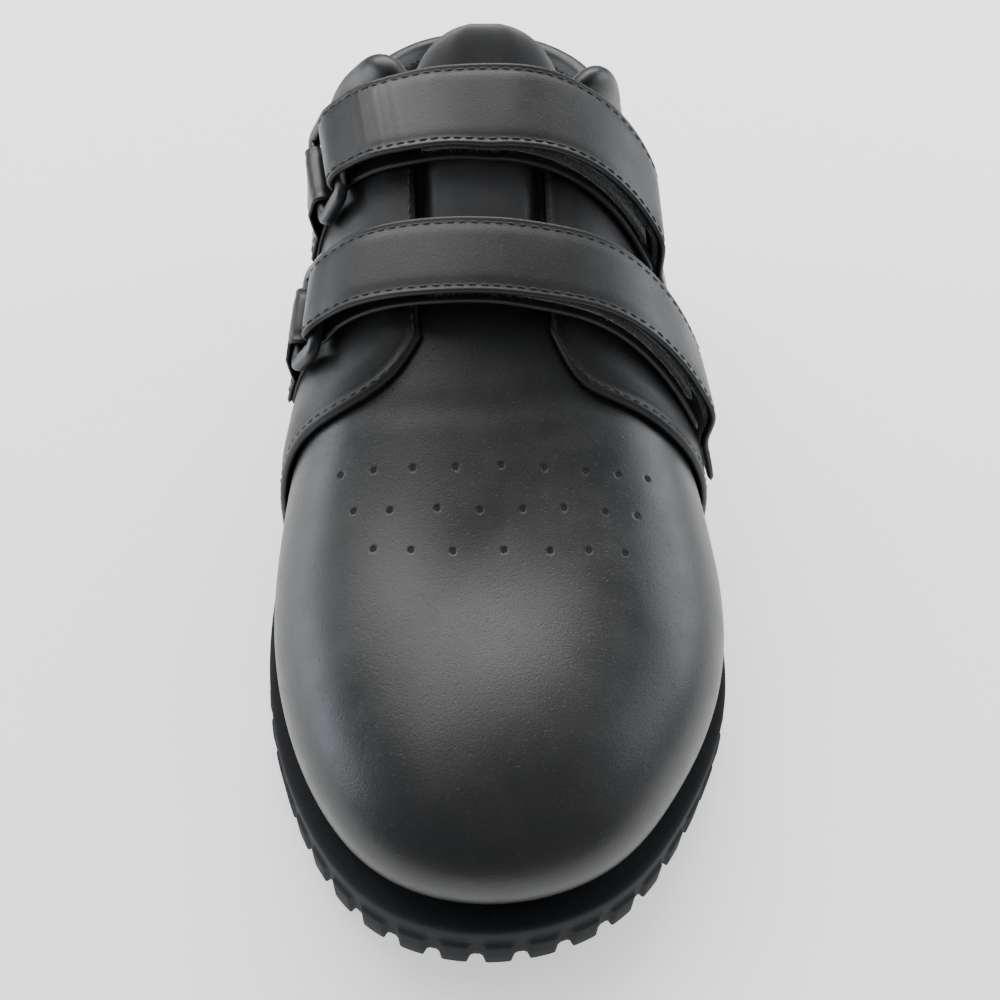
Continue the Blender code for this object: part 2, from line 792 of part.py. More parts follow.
for old in list(bpy.data.objects):
    bpy.data.objects.remove(old, do_unlink=True)
shoe = bpy.data.collections.new("extra_wide_shoe")
bpy.context.scene.collection.children.link(shoe)

make_sole()
make_insole()
make_upper()
make_quarter("quarter_medial", -1)
make_quarter("quarter_lateral", 1)
make_collar()
make_tongue()
make_strap("upper")
make_strap("lower")
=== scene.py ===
import math
import random

import bmesh
import bpy
import numpy as np
from mathutils import Matrix


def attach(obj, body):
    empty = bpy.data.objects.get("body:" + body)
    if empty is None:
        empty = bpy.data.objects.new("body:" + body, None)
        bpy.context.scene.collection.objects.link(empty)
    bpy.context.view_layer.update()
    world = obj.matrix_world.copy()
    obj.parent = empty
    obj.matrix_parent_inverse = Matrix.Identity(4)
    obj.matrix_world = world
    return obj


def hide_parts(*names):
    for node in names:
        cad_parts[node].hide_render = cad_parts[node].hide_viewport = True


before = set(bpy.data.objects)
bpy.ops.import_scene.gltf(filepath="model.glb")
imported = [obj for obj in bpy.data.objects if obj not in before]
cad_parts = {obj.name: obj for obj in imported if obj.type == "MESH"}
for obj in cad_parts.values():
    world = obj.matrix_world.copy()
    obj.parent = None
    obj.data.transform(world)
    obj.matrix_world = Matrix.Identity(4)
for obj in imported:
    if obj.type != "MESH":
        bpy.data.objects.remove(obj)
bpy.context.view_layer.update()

random.seed(7)
noiseSeed = np.random.default_rng(7)

# The last: metres, toe to -Y, outer side of the left foot to +X. Same sizes and tables as the source.
last = {
    "length": 0.294,
    "ballWidth": 0.1168,
    "instepHeight": 0.117,
    "heelHeight": 0.030,
    "wallHeight": 0.072,
    "wallBulge": 0.022,
    "wallLean": 0.0060,
    "widestRise": 0.018,
    "toeSpring": 0.008,
    "springStart": 0.687,
    "springPower": 1.8,
}
lastRows = np.array([
    # along, centre, half, sole, rise, crest, spine, fullness, wall
    (0.00, 0.062, 0.000, 1.000, 1.00, 0.930, 0.215, 2.60, 1.00),
    (0.03, 0.060, 0.405, 1.000, 1.00, 0.930, 0.220, 2.60, 1.00),
    (0.10, 0.048, 0.664, 1.000, 1.00, 0.940, 0.230, 2.60, 1.00),
    (0.20, -0.005, 0.765, 0.983, 0.94, 1.010, 0.262, 3.20, 0.90),
    (0.32, -0.004, 0.800, 0.900, 0.83, 1.040, 0.335, 3.10, 0.28),
    (0.45, 0.005, 0.858, 0.750, 0.72, 0.885, 0.450, 2.50, 0.05),
    (0.58, -0.006, 0.952, 0.617, 0.67, 0.700, 0.580, 2.30, 0.00),
    (0.70, -0.012, 1.000, 0.567, 0.61, 0.560, 0.690, 2.25, 0.00),
    (0.82, -0.024, 0.925, 0.553, 0.56, 0.500, 0.745, 2.20, 0.00),
    (0.92, -0.067, 0.687, 0.547, 0.50, 0.478, 0.785, 2.10, 0.00),
    (0.98, -0.089, 0.394, 0.547, 0.50, 0.468, 0.803, 2.10, 0.00),
    (1.00, -0.098, 0.000, 0.530, 0.50, 0.465, 0.808, 2.10, 0.00),
])
columnNames = ("along", "centre", "half", "sole", "rise", "crest", "spine", "fullness", "wall")
columnScale = {
    "centre": last["ballWidth"] / 2,
    "half": last["ballWidth"] / 2,
    "sole": last["heelHeight"],
    "rise": last["widestRise"],
    "crest": last["instepHeight"],
    "spine": last["length"],
}
rowAngles = np.arccos(1 - 2 * lastRows[:, 0])
heelY = last["length"] / 2


def bendsOf(xs, ys, level):
    # second derivatives of the cubic through the rows, level at both ends if asked
    n, step = len(xs), np.diff(xs)
    matrix, right = np.zeros((n, n)), np.zeros(n)
    for i in range(1, n - 1):
        matrix[i, i - 1:i + 2] = step[i - 1], 2 * (step[i - 1] + step[i]), step[i]
        right[i] = 6 * ((ys[i + 1] - ys[i]) / step[i] - (ys[i] - ys[i - 1]) / step[i - 1])
    if level:
        matrix[0, :2], right[0] = (2 * step[0], step[0]), 6 * (ys[1] - ys[0]) / step[0]
        matrix[-1, -2:], right[-1] = (step[-1], 2 * step[-1]), -6 * (ys[-1] - ys[-2]) / step[-1]
    else:
        matrix[0, 0] = matrix[-1, -1] = 1
    return np.linalg.solve(matrix, right)


def curve(x, xs, ys, bend):
    k = np.clip(np.searchsorted(xs, x) - 1, 0, len(xs) - 2)
    before, after, h = xs[k + 1] - x, x - xs[k], xs[k + 1] - xs[k]
    return ((bend[k] * before**3 + bend[k + 1] * after**3) / (6 * h)
            + (ys[k] / h - bend[k] * h / 6) * before + (ys[k + 1] / h - bend[k + 1] * h / 6) * after)


def rowsAt(x, rows, column):
    table = np.array(rows)
    table = table[np.argsort(table[:, 0])]
    xs, ys = table[:, 0], table[:, column]
    return curve(np.clip(x, xs[0], xs[-1]), xs, ys, bendsOf(xs, ys, False))


lastBends = {
    name: bendsOf(rowAngles, lastRows[:, k], name != "half")
    for k, name in enumerate(columnNames) if name != "along"
}


def lastAt(name, angle):
    values = lastRows[:, columnNames.index(name)]
    return curve(angle, rowAngles, values, lastBends[name]) * columnScale.get(name, 1.0)


def angleAt(along):
    return np.arccos(1 - 2 * np.clip(along, 0, 1))


def shareAt(angle):
    return (1 - np.cos(angle)) / 2


def springAt(along):
    lift = np.clip((along - last["springStart"]) / (1 - last["springStart"]), 0, 1)
    return last["toeSpring"] * lift ** last["springPower"]


def seatHeight(angle):
    return lastAt("sole", angle) + springAt(shareAt(angle))


def planAt(side, angle):
    x = lastAt("centre", angle) + side * lastAt("half", angle)
    return np.stack([x, heelY - last["length"] * shareAt(angle)], -1)


def rib(side, angle, up):
    # up is 0 at the sole's edge and 1 on the ridge of the foot
    side, angle, up = np.broadcast_arrays(*(np.asarray(v, float) for v in (side, angle, up)))
    wideX, y = np.moveaxis(planAt(side, angle), -1, 0)
    rise = lastAt("rise", angle)
    seat = seatHeight(angle)
    wideZ = seat + rise
    ridgeX = lastAt("centre", angleAt(lastAt("spine", angle) / last["length"]))
    toX = ridgeX - wideX
    toY = heelY - lastAt("spine", angle) - y
    tall = lastAt("crest", angle) - wideZ
    power = lastAt("fullness", angle)
    tuck = np.arcsin(np.clip(rise / tall, 0, 0.9))
    turn = -tuck + up * (math.pi / 2 + tuck)
    reach = (np.abs(np.cos(turn)) ** power + np.abs(np.sin(turn)) ** power) ** (-1 / power)
    inward = 1 - reach * np.cos(turn)
    dome = np.stack([wideX + toX * inward, y + toY * inward, wideZ + tall * reach * np.sin(turn)], -1)
    height = up * last["wallHeight"]
    lean = last["wallLean"] * ((height - last["wallBulge"]) / (last["wallHeight"] - last["wallBulge"])) ** 2
    run = np.maximum(np.hypot(toX, toY), 1e-9)
    wall = np.stack([wideX + toX / run * lean, y + toY / run * lean, seat + height], -1)
    blend = np.clip(lastAt("wall", angle), 0, 1)[..., None]
    return dome * (1 - blend) + wall * blend


def normalAt(side, angle, up):
    tiny = 1e-3
    angle, up = np.clip(angle, 0.02, math.pi - 0.03), np.clip(up, 0, 0.985)
    along = rib(side, angle + tiny, up) - rib(side, angle - tiny, up)
    upward = rib(side, angle, up + tiny) - rib(side, angle, up - tiny)
    out = -np.cross(along, upward) * np.asarray(side, float)[..., None]
    return out / np.linalg.norm(out, axis=-1, keepdims=True)


def skin(side, angle, up, lift=0.0):
    side, angle, up, lift = np.broadcast_arrays(*(np.asarray(v, float) for v in (side, angle, up, lift)))
    return rib(side, angle, up) + normalAt(side, angle, up) * lift[..., None]


# Collar, throat and wall
collar = {
    "height": 0.092,
    "rollHeight": 0.0190,
    "rollThickness": 0.0105,
    "wingShare": 1.22,
    "front": 0.316,
    "seamGap": 0.0013,
    "wingSwell": 0.30,
    "wingRise": 0.34,
    "wingIn": 1.25,
    "tuck": 0.0008,
    "taperFrom": 0.93,
    "seamDip": 0.10,
    "seamTurn": 2.2,
    "seamWidth": 0.13,
    "pucker": 0.02,
    "puckerLengths": (0.0047, 0.017, 0.021),
    "heights": (
        # along, height
        (0.000, 0.970), (0.060, 0.962), (0.130, 0.930), (0.190, 0.935),
        (0.240, 1.070), (0.285, 1.250), (0.325, 1.420), (0.400, 1.600),
    ),
    "rolls": (
        # along, height, thickness, lift
        (0.000, 1.00, 1.00, 0.0000), (0.180, 1.00, 1.00, 0.0000), (0.250, 0.80, 1.15, 0.0010),
        (0.290, 0.62, 1.25, 0.0022), (0.320, 0.50, 1.20, 0.0022), (0.350, 0.22, 1.00, 0.0010),
        (0.380, 0.00, 1.00, 0.0000),
    ),
}
throat = {
    "top": 0.230,
    "end": 0.540,
    "facingEnd": 0.573,
    "rows": (
        # along, middle, half gap
        (0.280, 0.0020, 0.0200), (0.340, 0.0007, 0.0190), (0.390, -0.0020, 0.0174),
        (0.430, -0.0028, 0.0170), (0.600, -0.0022, 0.0170),
    ),
}
wall = {
    "upper": 0.0022,
    "quarter": 0.0020,
    "fit": 0.0003,
    "quarterGap": 0.0009,
    "strapGap": 0.0010,
    "tapeGap": 0.00046,
    "tongueGap": 0.0017,
}
onQuarter = wall["quarter"] + wall["quarterGap"]  # outer face of the quarters over the last


def rollAt(along):
    return collar["rollHeight"] * np.maximum(rowsAt(along, collar["rolls"], 1), 0)


def throatMiddle(along):
    return lastAt("centre", angleAt(along)) + rowsAt(along, throat["rows"], 1)


def edgeUp(side, alongs, beyondGap, clearance, closedFrom):
    # how far up each rib the upper goes
    alongs = np.atleast_1d(np.asarray(alongs, float))
    ups = np.linspace(0, 1, 2001)
    points = rib(side, angleAt(alongs)[:, None], ups[None, :])
    roll = rollAt(alongs)[:, None]
    gap = rowsAt(alongs, throat["rows"], 2)[:, None] + beyondGap
    beyond = (closedFrom - alongs)[:, None]
    roundOff = np.sqrt(np.clip(1 - np.clip(1 - beyond * last["length"] / gap, 0, 1) ** 2, 0, 1))
    top = collar["height"] * rowsAt(alongs, collar["heights"], 1)[:, None]
    stop = (points[..., 2] >= top - roll - clearance) & (ups > 0.2)
    fromMiddle = side * (points[..., 0] - throatMiddle(alongs)[:, None])
    near = fromMiddle <= (gap + roll * collar["wingShare"]) * roundOff
    stop |= near & (alongs[:, None] > throat["top"])
    edge = np.where(stop.any(1), ups[np.argmax(stop, 1)], 1.0)
    edge[alongs >= closedFrom - 1e-6] = 1.0
    return edge


# Mesh helpers
def newPiece(name, vertices, faces, *materials):
    mesh = bpy.data.meshes.new(name)
    mesh.from_pydata(np.asarray(vertices).tolist(), [], [tuple(int(i) for i in face) for face in faces])
    mesh.validate()
    piece = bpy.data.objects.new(name, mesh)
    bpy.context.scene.collection.objects.link(piece)
    for material in materials:
        mesh.materials.append(material)
    mesh.shade_smooth()
    return piece


def gridFaces(rows, columns, start=0, flip=False, closed=False):
    i, j = np.meshgrid(np.arange(rows - 1), np.arange(columns if closed else columns - 1), indexing="ij")
    k = (j + 1) % columns
    quads = np.stack([i * columns + j, i * columns + k, (i + 1) * columns + k, (i + 1) * columns + j], -1)
    quads = quads.reshape(-1, 4) + start
    return quads[:, ::-1] if flip else quads


def loft(name, rings, material, closed=False):
    # a skin through rings of as many points each
    rings = np.asarray(rings)
    rows, columns = rings.shape[:2]
    points = rings.reshape(-1, 3)
    faces = list(gridFaces(rows, columns, closed=True))
    if closed:
        end = (rows - 1) * columns
        faces += [(end + j, end + (j + 1) % columns, (j + 1) % columns, j) for j in range(columns)]
    else:
        middles = np.array([rings[0].mean(0), rings[-1].mean(0)])
        points = np.vstack([points, middles])
        a, b = len(points) - 2, len(points) - 1
        base = (rows - 1) * columns
        faces += [(a, (j + 1) % columns, j) for j in range(columns)]
        faces += [(b, base + j, base + (j + 1) % columns) for j in range(columns)]
    return closedPiece(name, points, faces, material)


def closedPiece(name, vertices, faces, material):
    # a piece whose faces all look outwards
    piece = newPiece(name, vertices, faces, material)
    bm = bmesh.new()
    bm.from_mesh(piece.data)
    bmesh.ops.recalc_face_normals(bm, faces=bm.faces)
    bm.to_mesh(piece.data)
    bm.free()
    return piece


def shell(name, outer, inner, material):
    # a closed sheet: outer and inner grids of the same size and the rims between them
    rows, columns = outer.shape[:2]
    count = rows * columns
    points = np.vstack([outer.reshape(-1, 3), inner.reshape(-1, 3)])
    faces = list(gridFaces(rows, columns)) + list(gridFaces(rows, columns, count, True))
    index = np.arange(count).reshape(rows, columns)
    border = np.concatenate([index[0, :-1], index[:-1, -1], index[-1, :0:-1], index[:0:-1, 0]])
    for a, b in zip(border, np.roll(border, -1)):
        faces.append((b, a, a + count, b + count))
    return closedPiece(name, points, faces, material)


def lengthAlong(points):
    return np.concatenate([[0], np.cumsum(np.linalg.norm(np.diff(points, axis=0), axis=1))])


def resample(values, lengths, places):
    return np.stack([np.interp(places, lengths, values[:, k]) for k in range(values.shape[1])], -1)


def softened(values, reach, sharpness=1.0, held=False):
    # running mean down the rows; beyond the ends the line goes straight on, or is held
    kernel = np.exp(-np.linspace(-2, 2, 2 * reach + 1) ** 2 * sharpness)
    kernel /= kernel.sum()
    if held:
        before, after = np.repeat(values[:1], reach, 0), np.repeat(values[-1:], reach, 0)
    else:
        before, after = 2 * values[:1] - values[reach:0:-1], 2 * values[-1:] - values[-2:-2 - reach:-1]
    values = np.concatenate([before, values, after])
    return np.stack([np.convolve(column, kernel, "valid") for column in values.T], -1)


def insetLine(grid, outs, inset):
    # points and outward directions of a line this far inside the last column of a grid
    points, away = [], []
    for row, out in zip(grid, outs):
        lengths = lengthAlong(row)
        at = [lengths[-1] - inset]
        points.append(resample(row, lengths, at)[0])
        away.append(resample(out, lengths, at)[0])
    run = lengthAlong(np.array(points))
    keep = run < run[-1] - inset
    return np.array(points)[keep], np.array(away)[keep]


def unit(v):
    return v / np.maximum(np.linalg.norm(v, axis=-1, keepdims=True), 1e-12)


def smoothStep(x, low, high):
    # low may be above high: then it falls
    t = np.clip((x - low) / (high - low), 0, 1)
    return t * t * (3 - 2 * t)


def roundEdge(distance, radius, least=0.0):
    # height of a rounded edge at this distance from it, from least to 1
    return np.sqrt(np.clip(1 - (1 - np.clip(distance / radius, 0, 1)) ** 2, least, 1))


def sameOut(line, out):
    # a line of stitches that all look the same way
    return line, np.repeat(out[None], len(line), 0)


def joined(*parts):
    return [np.concatenate([part[k] for part in parts]) for k in range(3)]


def ripple(x, y, z, wave, seed):
    # slow hand-made unevenness, about -1 to 1
    random.seed(seed)
    total = 0
    for _ in range(5):
        a, b, c, p = (random.uniform(-1, 1) for _ in range(4))
        size = math.sqrt(a * a + b * b + c * c) + 1e-6
        k = 2 * math.pi / (wave * random.uniform(0.7, 1.5)) / size
        total = total + np.sin(k * (a * x + b * y + c * z) + p * math.pi)
    return total / 3.0


stitch = {
    "pitch": 0.0030,
    "length": 0.0024,
    "radius": 0.00030,
    "sink": 0.00006,
    "bow": 0.00022,
    "wander": 0.00006,
    "skew": 0.06,
    "sides": 6,
    "profile": (
        # place along the stitch, size
        (-1, 0.15), (-0.82, 0.72), (-0.45, 1.0), (0.45, 1.0), (0.82, 0.72), (1, 0.15),
    ),
}


def sew(name, lines, material):
    # rows of thread: each line is (points, outward directions)
    sides, rows = stitch["sides"], len(stitch["profile"])
    turns = [2 * math.pi * k / sides for k in range(sides)]
    vertices, faces = [], []
    for points, outs in lines:
        lengths = lengthAlong(points)
        count = max(int(lengths[-1] / stitch["pitch"]), 1)
        places = (np.arange(count) + 0.5) * lengths[-1] / count + noiseSeed.normal(0, stitch["wander"], count)
        centres = resample(points, lengths, places)
        out = unit(resample(outs, lengths, places))
        along = unit(resample(points, lengths, places + 0.0005) - resample(points, lengths, places - 0.0005))
        across = unit(np.cross(along, out))
        along = unit(along + across * noiseSeed.normal(0, stitch["skew"], count)[:, None])
        for c, t, w, o in zip(centres, along, across, out):
            start = len(vertices)
            for at, size in stitch["profile"]:
                middle = c + t * at * stitch["length"] / 2 + o * (stitch["sink"] - stitch["bow"] * at * at)
                radius = stitch["radius"] * size
                vertices += [middle + (w * math.cos(turn) + o * math.sin(turn)) * radius for turn in turns]
            faces.extend(gridFaces(rows, sides, start, closed=True).tolist())
            faces.append(list(range(start, start + sides)))
            faces.append(list(range(start + (rows - 1) * sides, start + rows * sides))[::-1])
    piece = closedPiece(name, vertices, faces, material)
    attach(piece, "root")


# Shader maths
class Shade:
    # one socket of a node tree, so that formulas read as plain maths
    def __init__(self, tree, socket):
        self.tree, self.socket = tree, socket

    def maths(self, operation, *values):
        return addNode(self.tree, "ShaderNodeMath", {"operation": operation}, dict(enumerate(values)))

    def __add__(self, other):
        return self.maths("ADD", self, other)

    def __sub__(self, other):
        return self.maths("SUBTRACT", self, other)

    def __mul__(self, other):
        return self.maths("MULTIPLY", self, other)

    def __radd__(self, other):
        return self.maths("ADD", other, self)

    def __rsub__(self, other):
        return self.maths("SUBTRACT", other, self)

    def __rmul__(self, other):
        return self.maths("MULTIPLY", other, self)

    def atMost(self, other):
        return self.maths("MINIMUM", self, other)

    def between(self, low, high, first=0.0, second=1.0):
        # low to high becomes first to second, softly, and stays there outside
        return addNode(self.tree, "ShaderNodeMapRange", {"interpolation_type": "SMOOTHSTEP"},
                       {"Value": self, "From Min": low, "From Max": high, "To Min": first, "To Max": second})


def addNode(tree, kind, settings=None, values=None, output=0):
    node = tree.nodes.new(kind)
    for name, value in (settings or {}).items():
        setattr(node, name, value)
    for name, value in (values or {}).items():
        socket = node.inputs[name]
        if isinstance(value, Shade):
            tree.links.new(value.socket, socket)
        else:
            socket.default_value = value
    return Shade(tree, node.outputs[output])


def newMaterial(name, roughness, colour, gloss):
    material = bpy.data.materials.new(name)
    material.use_nodes = True
    tree = material.node_tree
    surface = tree.nodes["Principled BSDF"]
    surface.inputs["Base Color"].default_value = (*colour, 1)
    surface.inputs["Roughness"].default_value = roughness
    surface.inputs["Specular IOR Level"].default_value = gloss
    return material, tree, surface, addNode(tree, "ShaderNodeTexCoord", output=3)


def cover(tree, surface, colour, height, rough=None):
    # what changes over the surface: colour, relief in metres and perhaps roughness
    bump = addNode(tree, "ShaderNodeBump", {}, {"Strength": 1.0, "Distance": 1.0, "Height": height})
    for socket, value in (("Base Color", colour), ("Normal", bump), ("Roughness", rough)):
        if value is not None:
            tree.links.new(value.socket, surface.inputs[socket])


def mixColour(tree, factor, first, second):
    first, second = (value if isinstance(value, Shade) else (*value, 1) for value in (first, second))
    return addNode(tree, "ShaderNodeMix", {"data_type": "RGBA"}, {0: factor, 6: first, 7: second}, 2)


def noiseAt(tree, place, scale, detail=2.0, rough=0.5, output=0):
    values = {"Vector": place, "Scale": scale, "Detail": detail, "Roughness": rough}
    return addNode(tree, "ShaderNodeTexNoise", {}, values, output)


def cellsAt(tree, place, scale, feature="F1"):
    return addNode(tree, "ShaderNodeTexVoronoi", {"feature": feature}, {"Vector": place, "Scale": scale})


def vectorMaths(tree, operation, *values, output=0):
    return addNode(tree, "ShaderNodeVectorMath", {"operation": operation}, dict(enumerate(values)), output)


rubber = {"colour": (0.009, 0.010, 0.012), "bright": (0.017, 0.018, 0.021), "dust": (0.060, 0.060, 0.063)}
plastic = {"colour": (0.012, 0.013, 0.015), "rubbed": (0.030, 0.031, 0.034)}
thread = {"colour": (0.010, 0.010, 0.011), "bright": (0.030, 0.029, 0.028)}
cloth = {
    "lining": (0.020, 0.020, 0.021),
    "liningBright": (0.040, 0.040, 0.042),
    "tape": (0.024, 0.025, 0.028),
    "tapeBright": (0.090, 0.092, 0.098),
}
leather = {
    "colour": (0.0105, 0.0105, 0.0108),
    "worn": (0.021, 0.020, 0.019),
    "grainSize": 0.00046,
    "grainDepth": 0.000030,
    "pores": 0.00035,
}
vampHoles = {
    "radius": 0.00084,
    "depth": 0.0005,
    "dent": 0.00005,
    # painted shade: the inside of each hole is drawn as a near-black spot in the colour
    "colour": (0.0016, 0.0016, 0.0018),
    "rows": (
        # x and y of each hole, in millimetres
        ((-40.2, -49.7), (-31.8, -51.4), (-22.1, -52.9), (-11.6, -53.8), (-0.5, -53.8),
         (10.1, -54.7), (20.3, -55.1), (28.8, -54.6), (36.7, -53.6)),
        ((-36.8, -60.3), (-27.9, -62.3), (-16.4, -63.4), (-6.2, -64.3), (4.2, -64.5),
         (14.2, -64.5), (24.4, -64.9), (32.6, -64.4)),
        ((-31.9, -71.4), (-22.9, -73.2), (-13.0, -74.2), (-0.9, -74.2), (10.0, -75.0),
         (19.3, -75.1), (28.2, -75.0)),
    ),
}


def makeLeather(name, roughness, gloss=0.52, stretch=1.0, paintedLightFactor=1.0, holes=False):
    # a factor above 1 paints light into the colour: a lit copy of the same leather
    plain, rubbed = (tuple(paintedLightFactor * part for part in leather[key]) for key in ("colour", "worn"))
    material, tree, surface, place = newMaterial(name, roughness, plain, gloss)
    size = leather["grainSize"] * stretch
    swirl = noiseAt(tree, place, 900.0, 1.0, output=1)
    warp = vectorMaths(tree, "MULTIPLY_ADD", swirl, (0.0006, 0.0006, 0.0006), place)
    cells = cellsAt(tree, warp, 1 / size, "SMOOTH_F1")
    creases = cellsAt(tree, warp, 1 / (size * 3.4), "DISTANCE_TO_EDGE")
    fine = noiseAt(tree, place, 5200.0, 3.0, 0.6)
    pores = noiseAt(tree, place, 1 / leather["pores"] / 2.6, 1.0).between(0.62, 0.74)
    slow = noiseAt(tree, place, 28.0, 3.0, 0.55)
    patch = noiseAt(tree, place, 110.0, 4.0, 0.6)
    long = vectorMaths(tree, "MULTIPLY", place, (260.0, 60.0, 160.0))
    scuff = noiseAt(tree, long, 1.0, 5.0, 0.65).between(0.62, 0.78)
    worn = (slow.between(0.42, 0.72) * 0.45 + patch.between(0.5, 0.75) * 0.25 + scuff * 0.18).atMost(1.0)
    colour = mixColour(tree, worn, plain, rubbed)
    rough = roughness + (patch - 0.5) * 0.18 + (slow - 0.5) * 0.14 + scuff * 0.07 + pores * 0.08
    height = cells * -0.6 + creases.between(0.0, 0.12, -0.16, 0.0) + fine * 0.35 - pores * 0.5
    height = height * leather["grainDepth"]
    if holes:
        radius = vampHoles["radius"]
        flat = vectorMaths(tree, "MULTIPLY", place, (1.0, 1.0, 0.0))
        nearest = None
        for x, y in sum(vampHoles["rows"], ()):
            gap = vectorMaths(tree, "DISTANCE", flat, (x / 1000, y / 1000, 0.0), output=1)
            nearest = gap if nearest is None else nearest.atMost(gap)
        nearest = nearest + (noiseAt(tree, place, 1500.0) - 0.5) * 0.0003
        onTop = addNode(tree, "ShaderNodeSeparateXYZ", {}, {0: place}, 2).between(0.045, 0.048)
        hole = nearest.between(radius * 0.80, radius * 1.05, 1.0, 0.0) * onTop
        dent = nearest.between(radius * 0.9, radius * 1.6, 1.0, 0.0) * onTop
        # painted shade: the holes are darkened in the colour for the shade inside them
        colour = mixColour(tree, hole, colour, vampHoles["colour"])
        rough = rough + hole * 0.5
        height = height - dent * vampHoles["dent"] - hole * vampHoles["depth"]
    cover(tree, surface, colour, height, rough)
    return material


def makeCloth(name, roughness, sheen, colour, bright, scale, depth):
    material, tree, surface, place = newMaterial(name, roughness, colour, 0.25)
    surface.inputs["Sheen Weight"].default_value = sheen
    surface.inputs["Sheen Roughness"].default_value = 0.5
    fuzz = noiseAt(tree, place, scale * 2.2, 4.0, 0.7)
    slow = noiseAt(tree, place, 90.0, 3.0, 0.6)
    tone = mixColour(tree, (fuzz * 0.7 + slow * 0.5).between(0.45, 0.85), colour, bright)
    cover(tree, surface, tone, (fuzz * 0.7 - cellsAt(tree, place, scale) * 0.8) * depth)
    return material


def makeRubber(name):
    material, tree, surface, place = newMaterial(name, 0.82, rubber["colour"], 0.24)
    crumb = noiseAt(tree, place, 1500.0, 4.0, 0.7)
    pits = cellsAt(tree, place, 900.0).between(0.0, 0.34, 1.0, 0.0)
    slow = noiseAt(tree, place, 60.0, 4.0, 0.6)
    dust = noiseAt(tree, place, 240.0, 5.0, 0.7).between(0.52, 0.80)
    share = slow.between(0.35, 0.75) * 0.6 + crumb.between(0.5, 0.8) * 0.2
    colour = mixColour(tree, share, rubber["colour"], rubber["bright"])
    colour = mixColour(tree, dust * 0.16, colour, rubber["dust"])
    height = (crumb * 0.6 - pits * 0.7) * 0.00009
    cover(tree, surface, colour, height, 0.80 + (slow - 0.5) * 0.12 + dust * 0.05)
    return material


def makePlastic(name):
    material, tree, surface, place = newMaterial(name, 0.36, plastic["colour"], 0.5)
    rub = noiseAt(tree, place, 300.0, 4.0, 0.65)
    colour = mixColour(tree, rub.between(0.5, 0.75) * 0.6, plastic["colour"], plastic["rubbed"])
    cover(tree, surface, colour, noiseAt(tree, place, 2600.0, 3.0, 0.6) * 0.00002, 0.34 + rub * 0.16)
    return material


def makeThread(name):
    material, tree, surface, place = newMaterial(name, 0.55, thread["colour"], 0.5)
    twist = noiseAt(tree, place, 3500.0, 2.0, 0.6)
    colour = mixColour(tree, twist.between(0.4, 0.7), thread["colour"], thread["bright"])
    cover(tree, surface, colour, twist * 0.00005)
    return material


vampLeather = makeLeather("vampLeather", 0.38, holes=True)
panelLeather = makeLeather("panelLeather", 0.46, gloss=0.38)
strapLeather = makeLeather("strapLeather", 0.42, gloss=0.46, stretch=1.1)
softLeather = makeLeather("softLeather", 0.44, stretch=0.9)
# painted light: the tongue's leather is 4.5 times lighter than the rest, a lit copy standing in for light on
# its top
tongueLeatherPaintedLit = makeLeather("tongueLeatherPaintedLit", 0.48, stretch=0.9, paintedLightFactor=4.5)
liningCloth = makeCloth("liningCloth", 0.85, 0.3, cloth["lining"], cloth["liningBright"], 1600.0, 0.00007)
tapeCloth = makeCloth("tapeCloth", 0.95, 0.5, cloth["tape"], cloth["tapeBright"], 1100.0, 0.00035)
soleRubber = makeRubber("soleRubber")
ringPlastic = makePlastic("ringPlastic")
blackThread = makeThread("blackThread")
print("materials ready")


# Upper
vamp = {
    "ribs": 170,
    "backRibs": 90,
    "ups": 76,
    "creases": (
        # x and y of both ends and the width in millimetres, then the depth
        (-34, -37, 2, -41, 2.4, 0.00016),
        (-2, -40, 34, -36, 2.2, 0.00018),
        (6, -33, 24, -38, 0.5, 0.00012),
        (-30, -80, 20, -84, 9.0, 0.00018),
        (-24, -92, 30, -90, 11.0, 0.00022),
        (-44, -66, -40, -96, 7.0, 0.00020),
        (40, -60, 38, -92, 8.0, 0.00022),
    ),
    "unevenness": 0.00016,
    "poleReach": 0.034,
}


def vampRelief(points):
    x, y, z = (points[..., k] * 1000 for k in range(3))
    relief = vamp["unevenness"] * ripple(x, y, z, 46.0, 3)
    for x0, y0, x1, y1, width, depth in vamp["creases"]:
        dx, dy = x1 - x0, y1 - y0
        t = np.clip(((x - x0) * dx + (y - y0) * dy) / (dx * dx + dy * dy), 0, 1)
        gap = np.hypot(x - x0 - t * dx, y - y0 - t * dy)
        trough, ridge = np.exp(-(gap / width) ** 2), np.exp(-((gap - 2 * width) / width) ** 2)
        relief = relief - depth * (1 - (2 * t - 1) ** 4) * (trough - 0.5 * ridge)
    return relief * smoothStep(z, 22, 34)


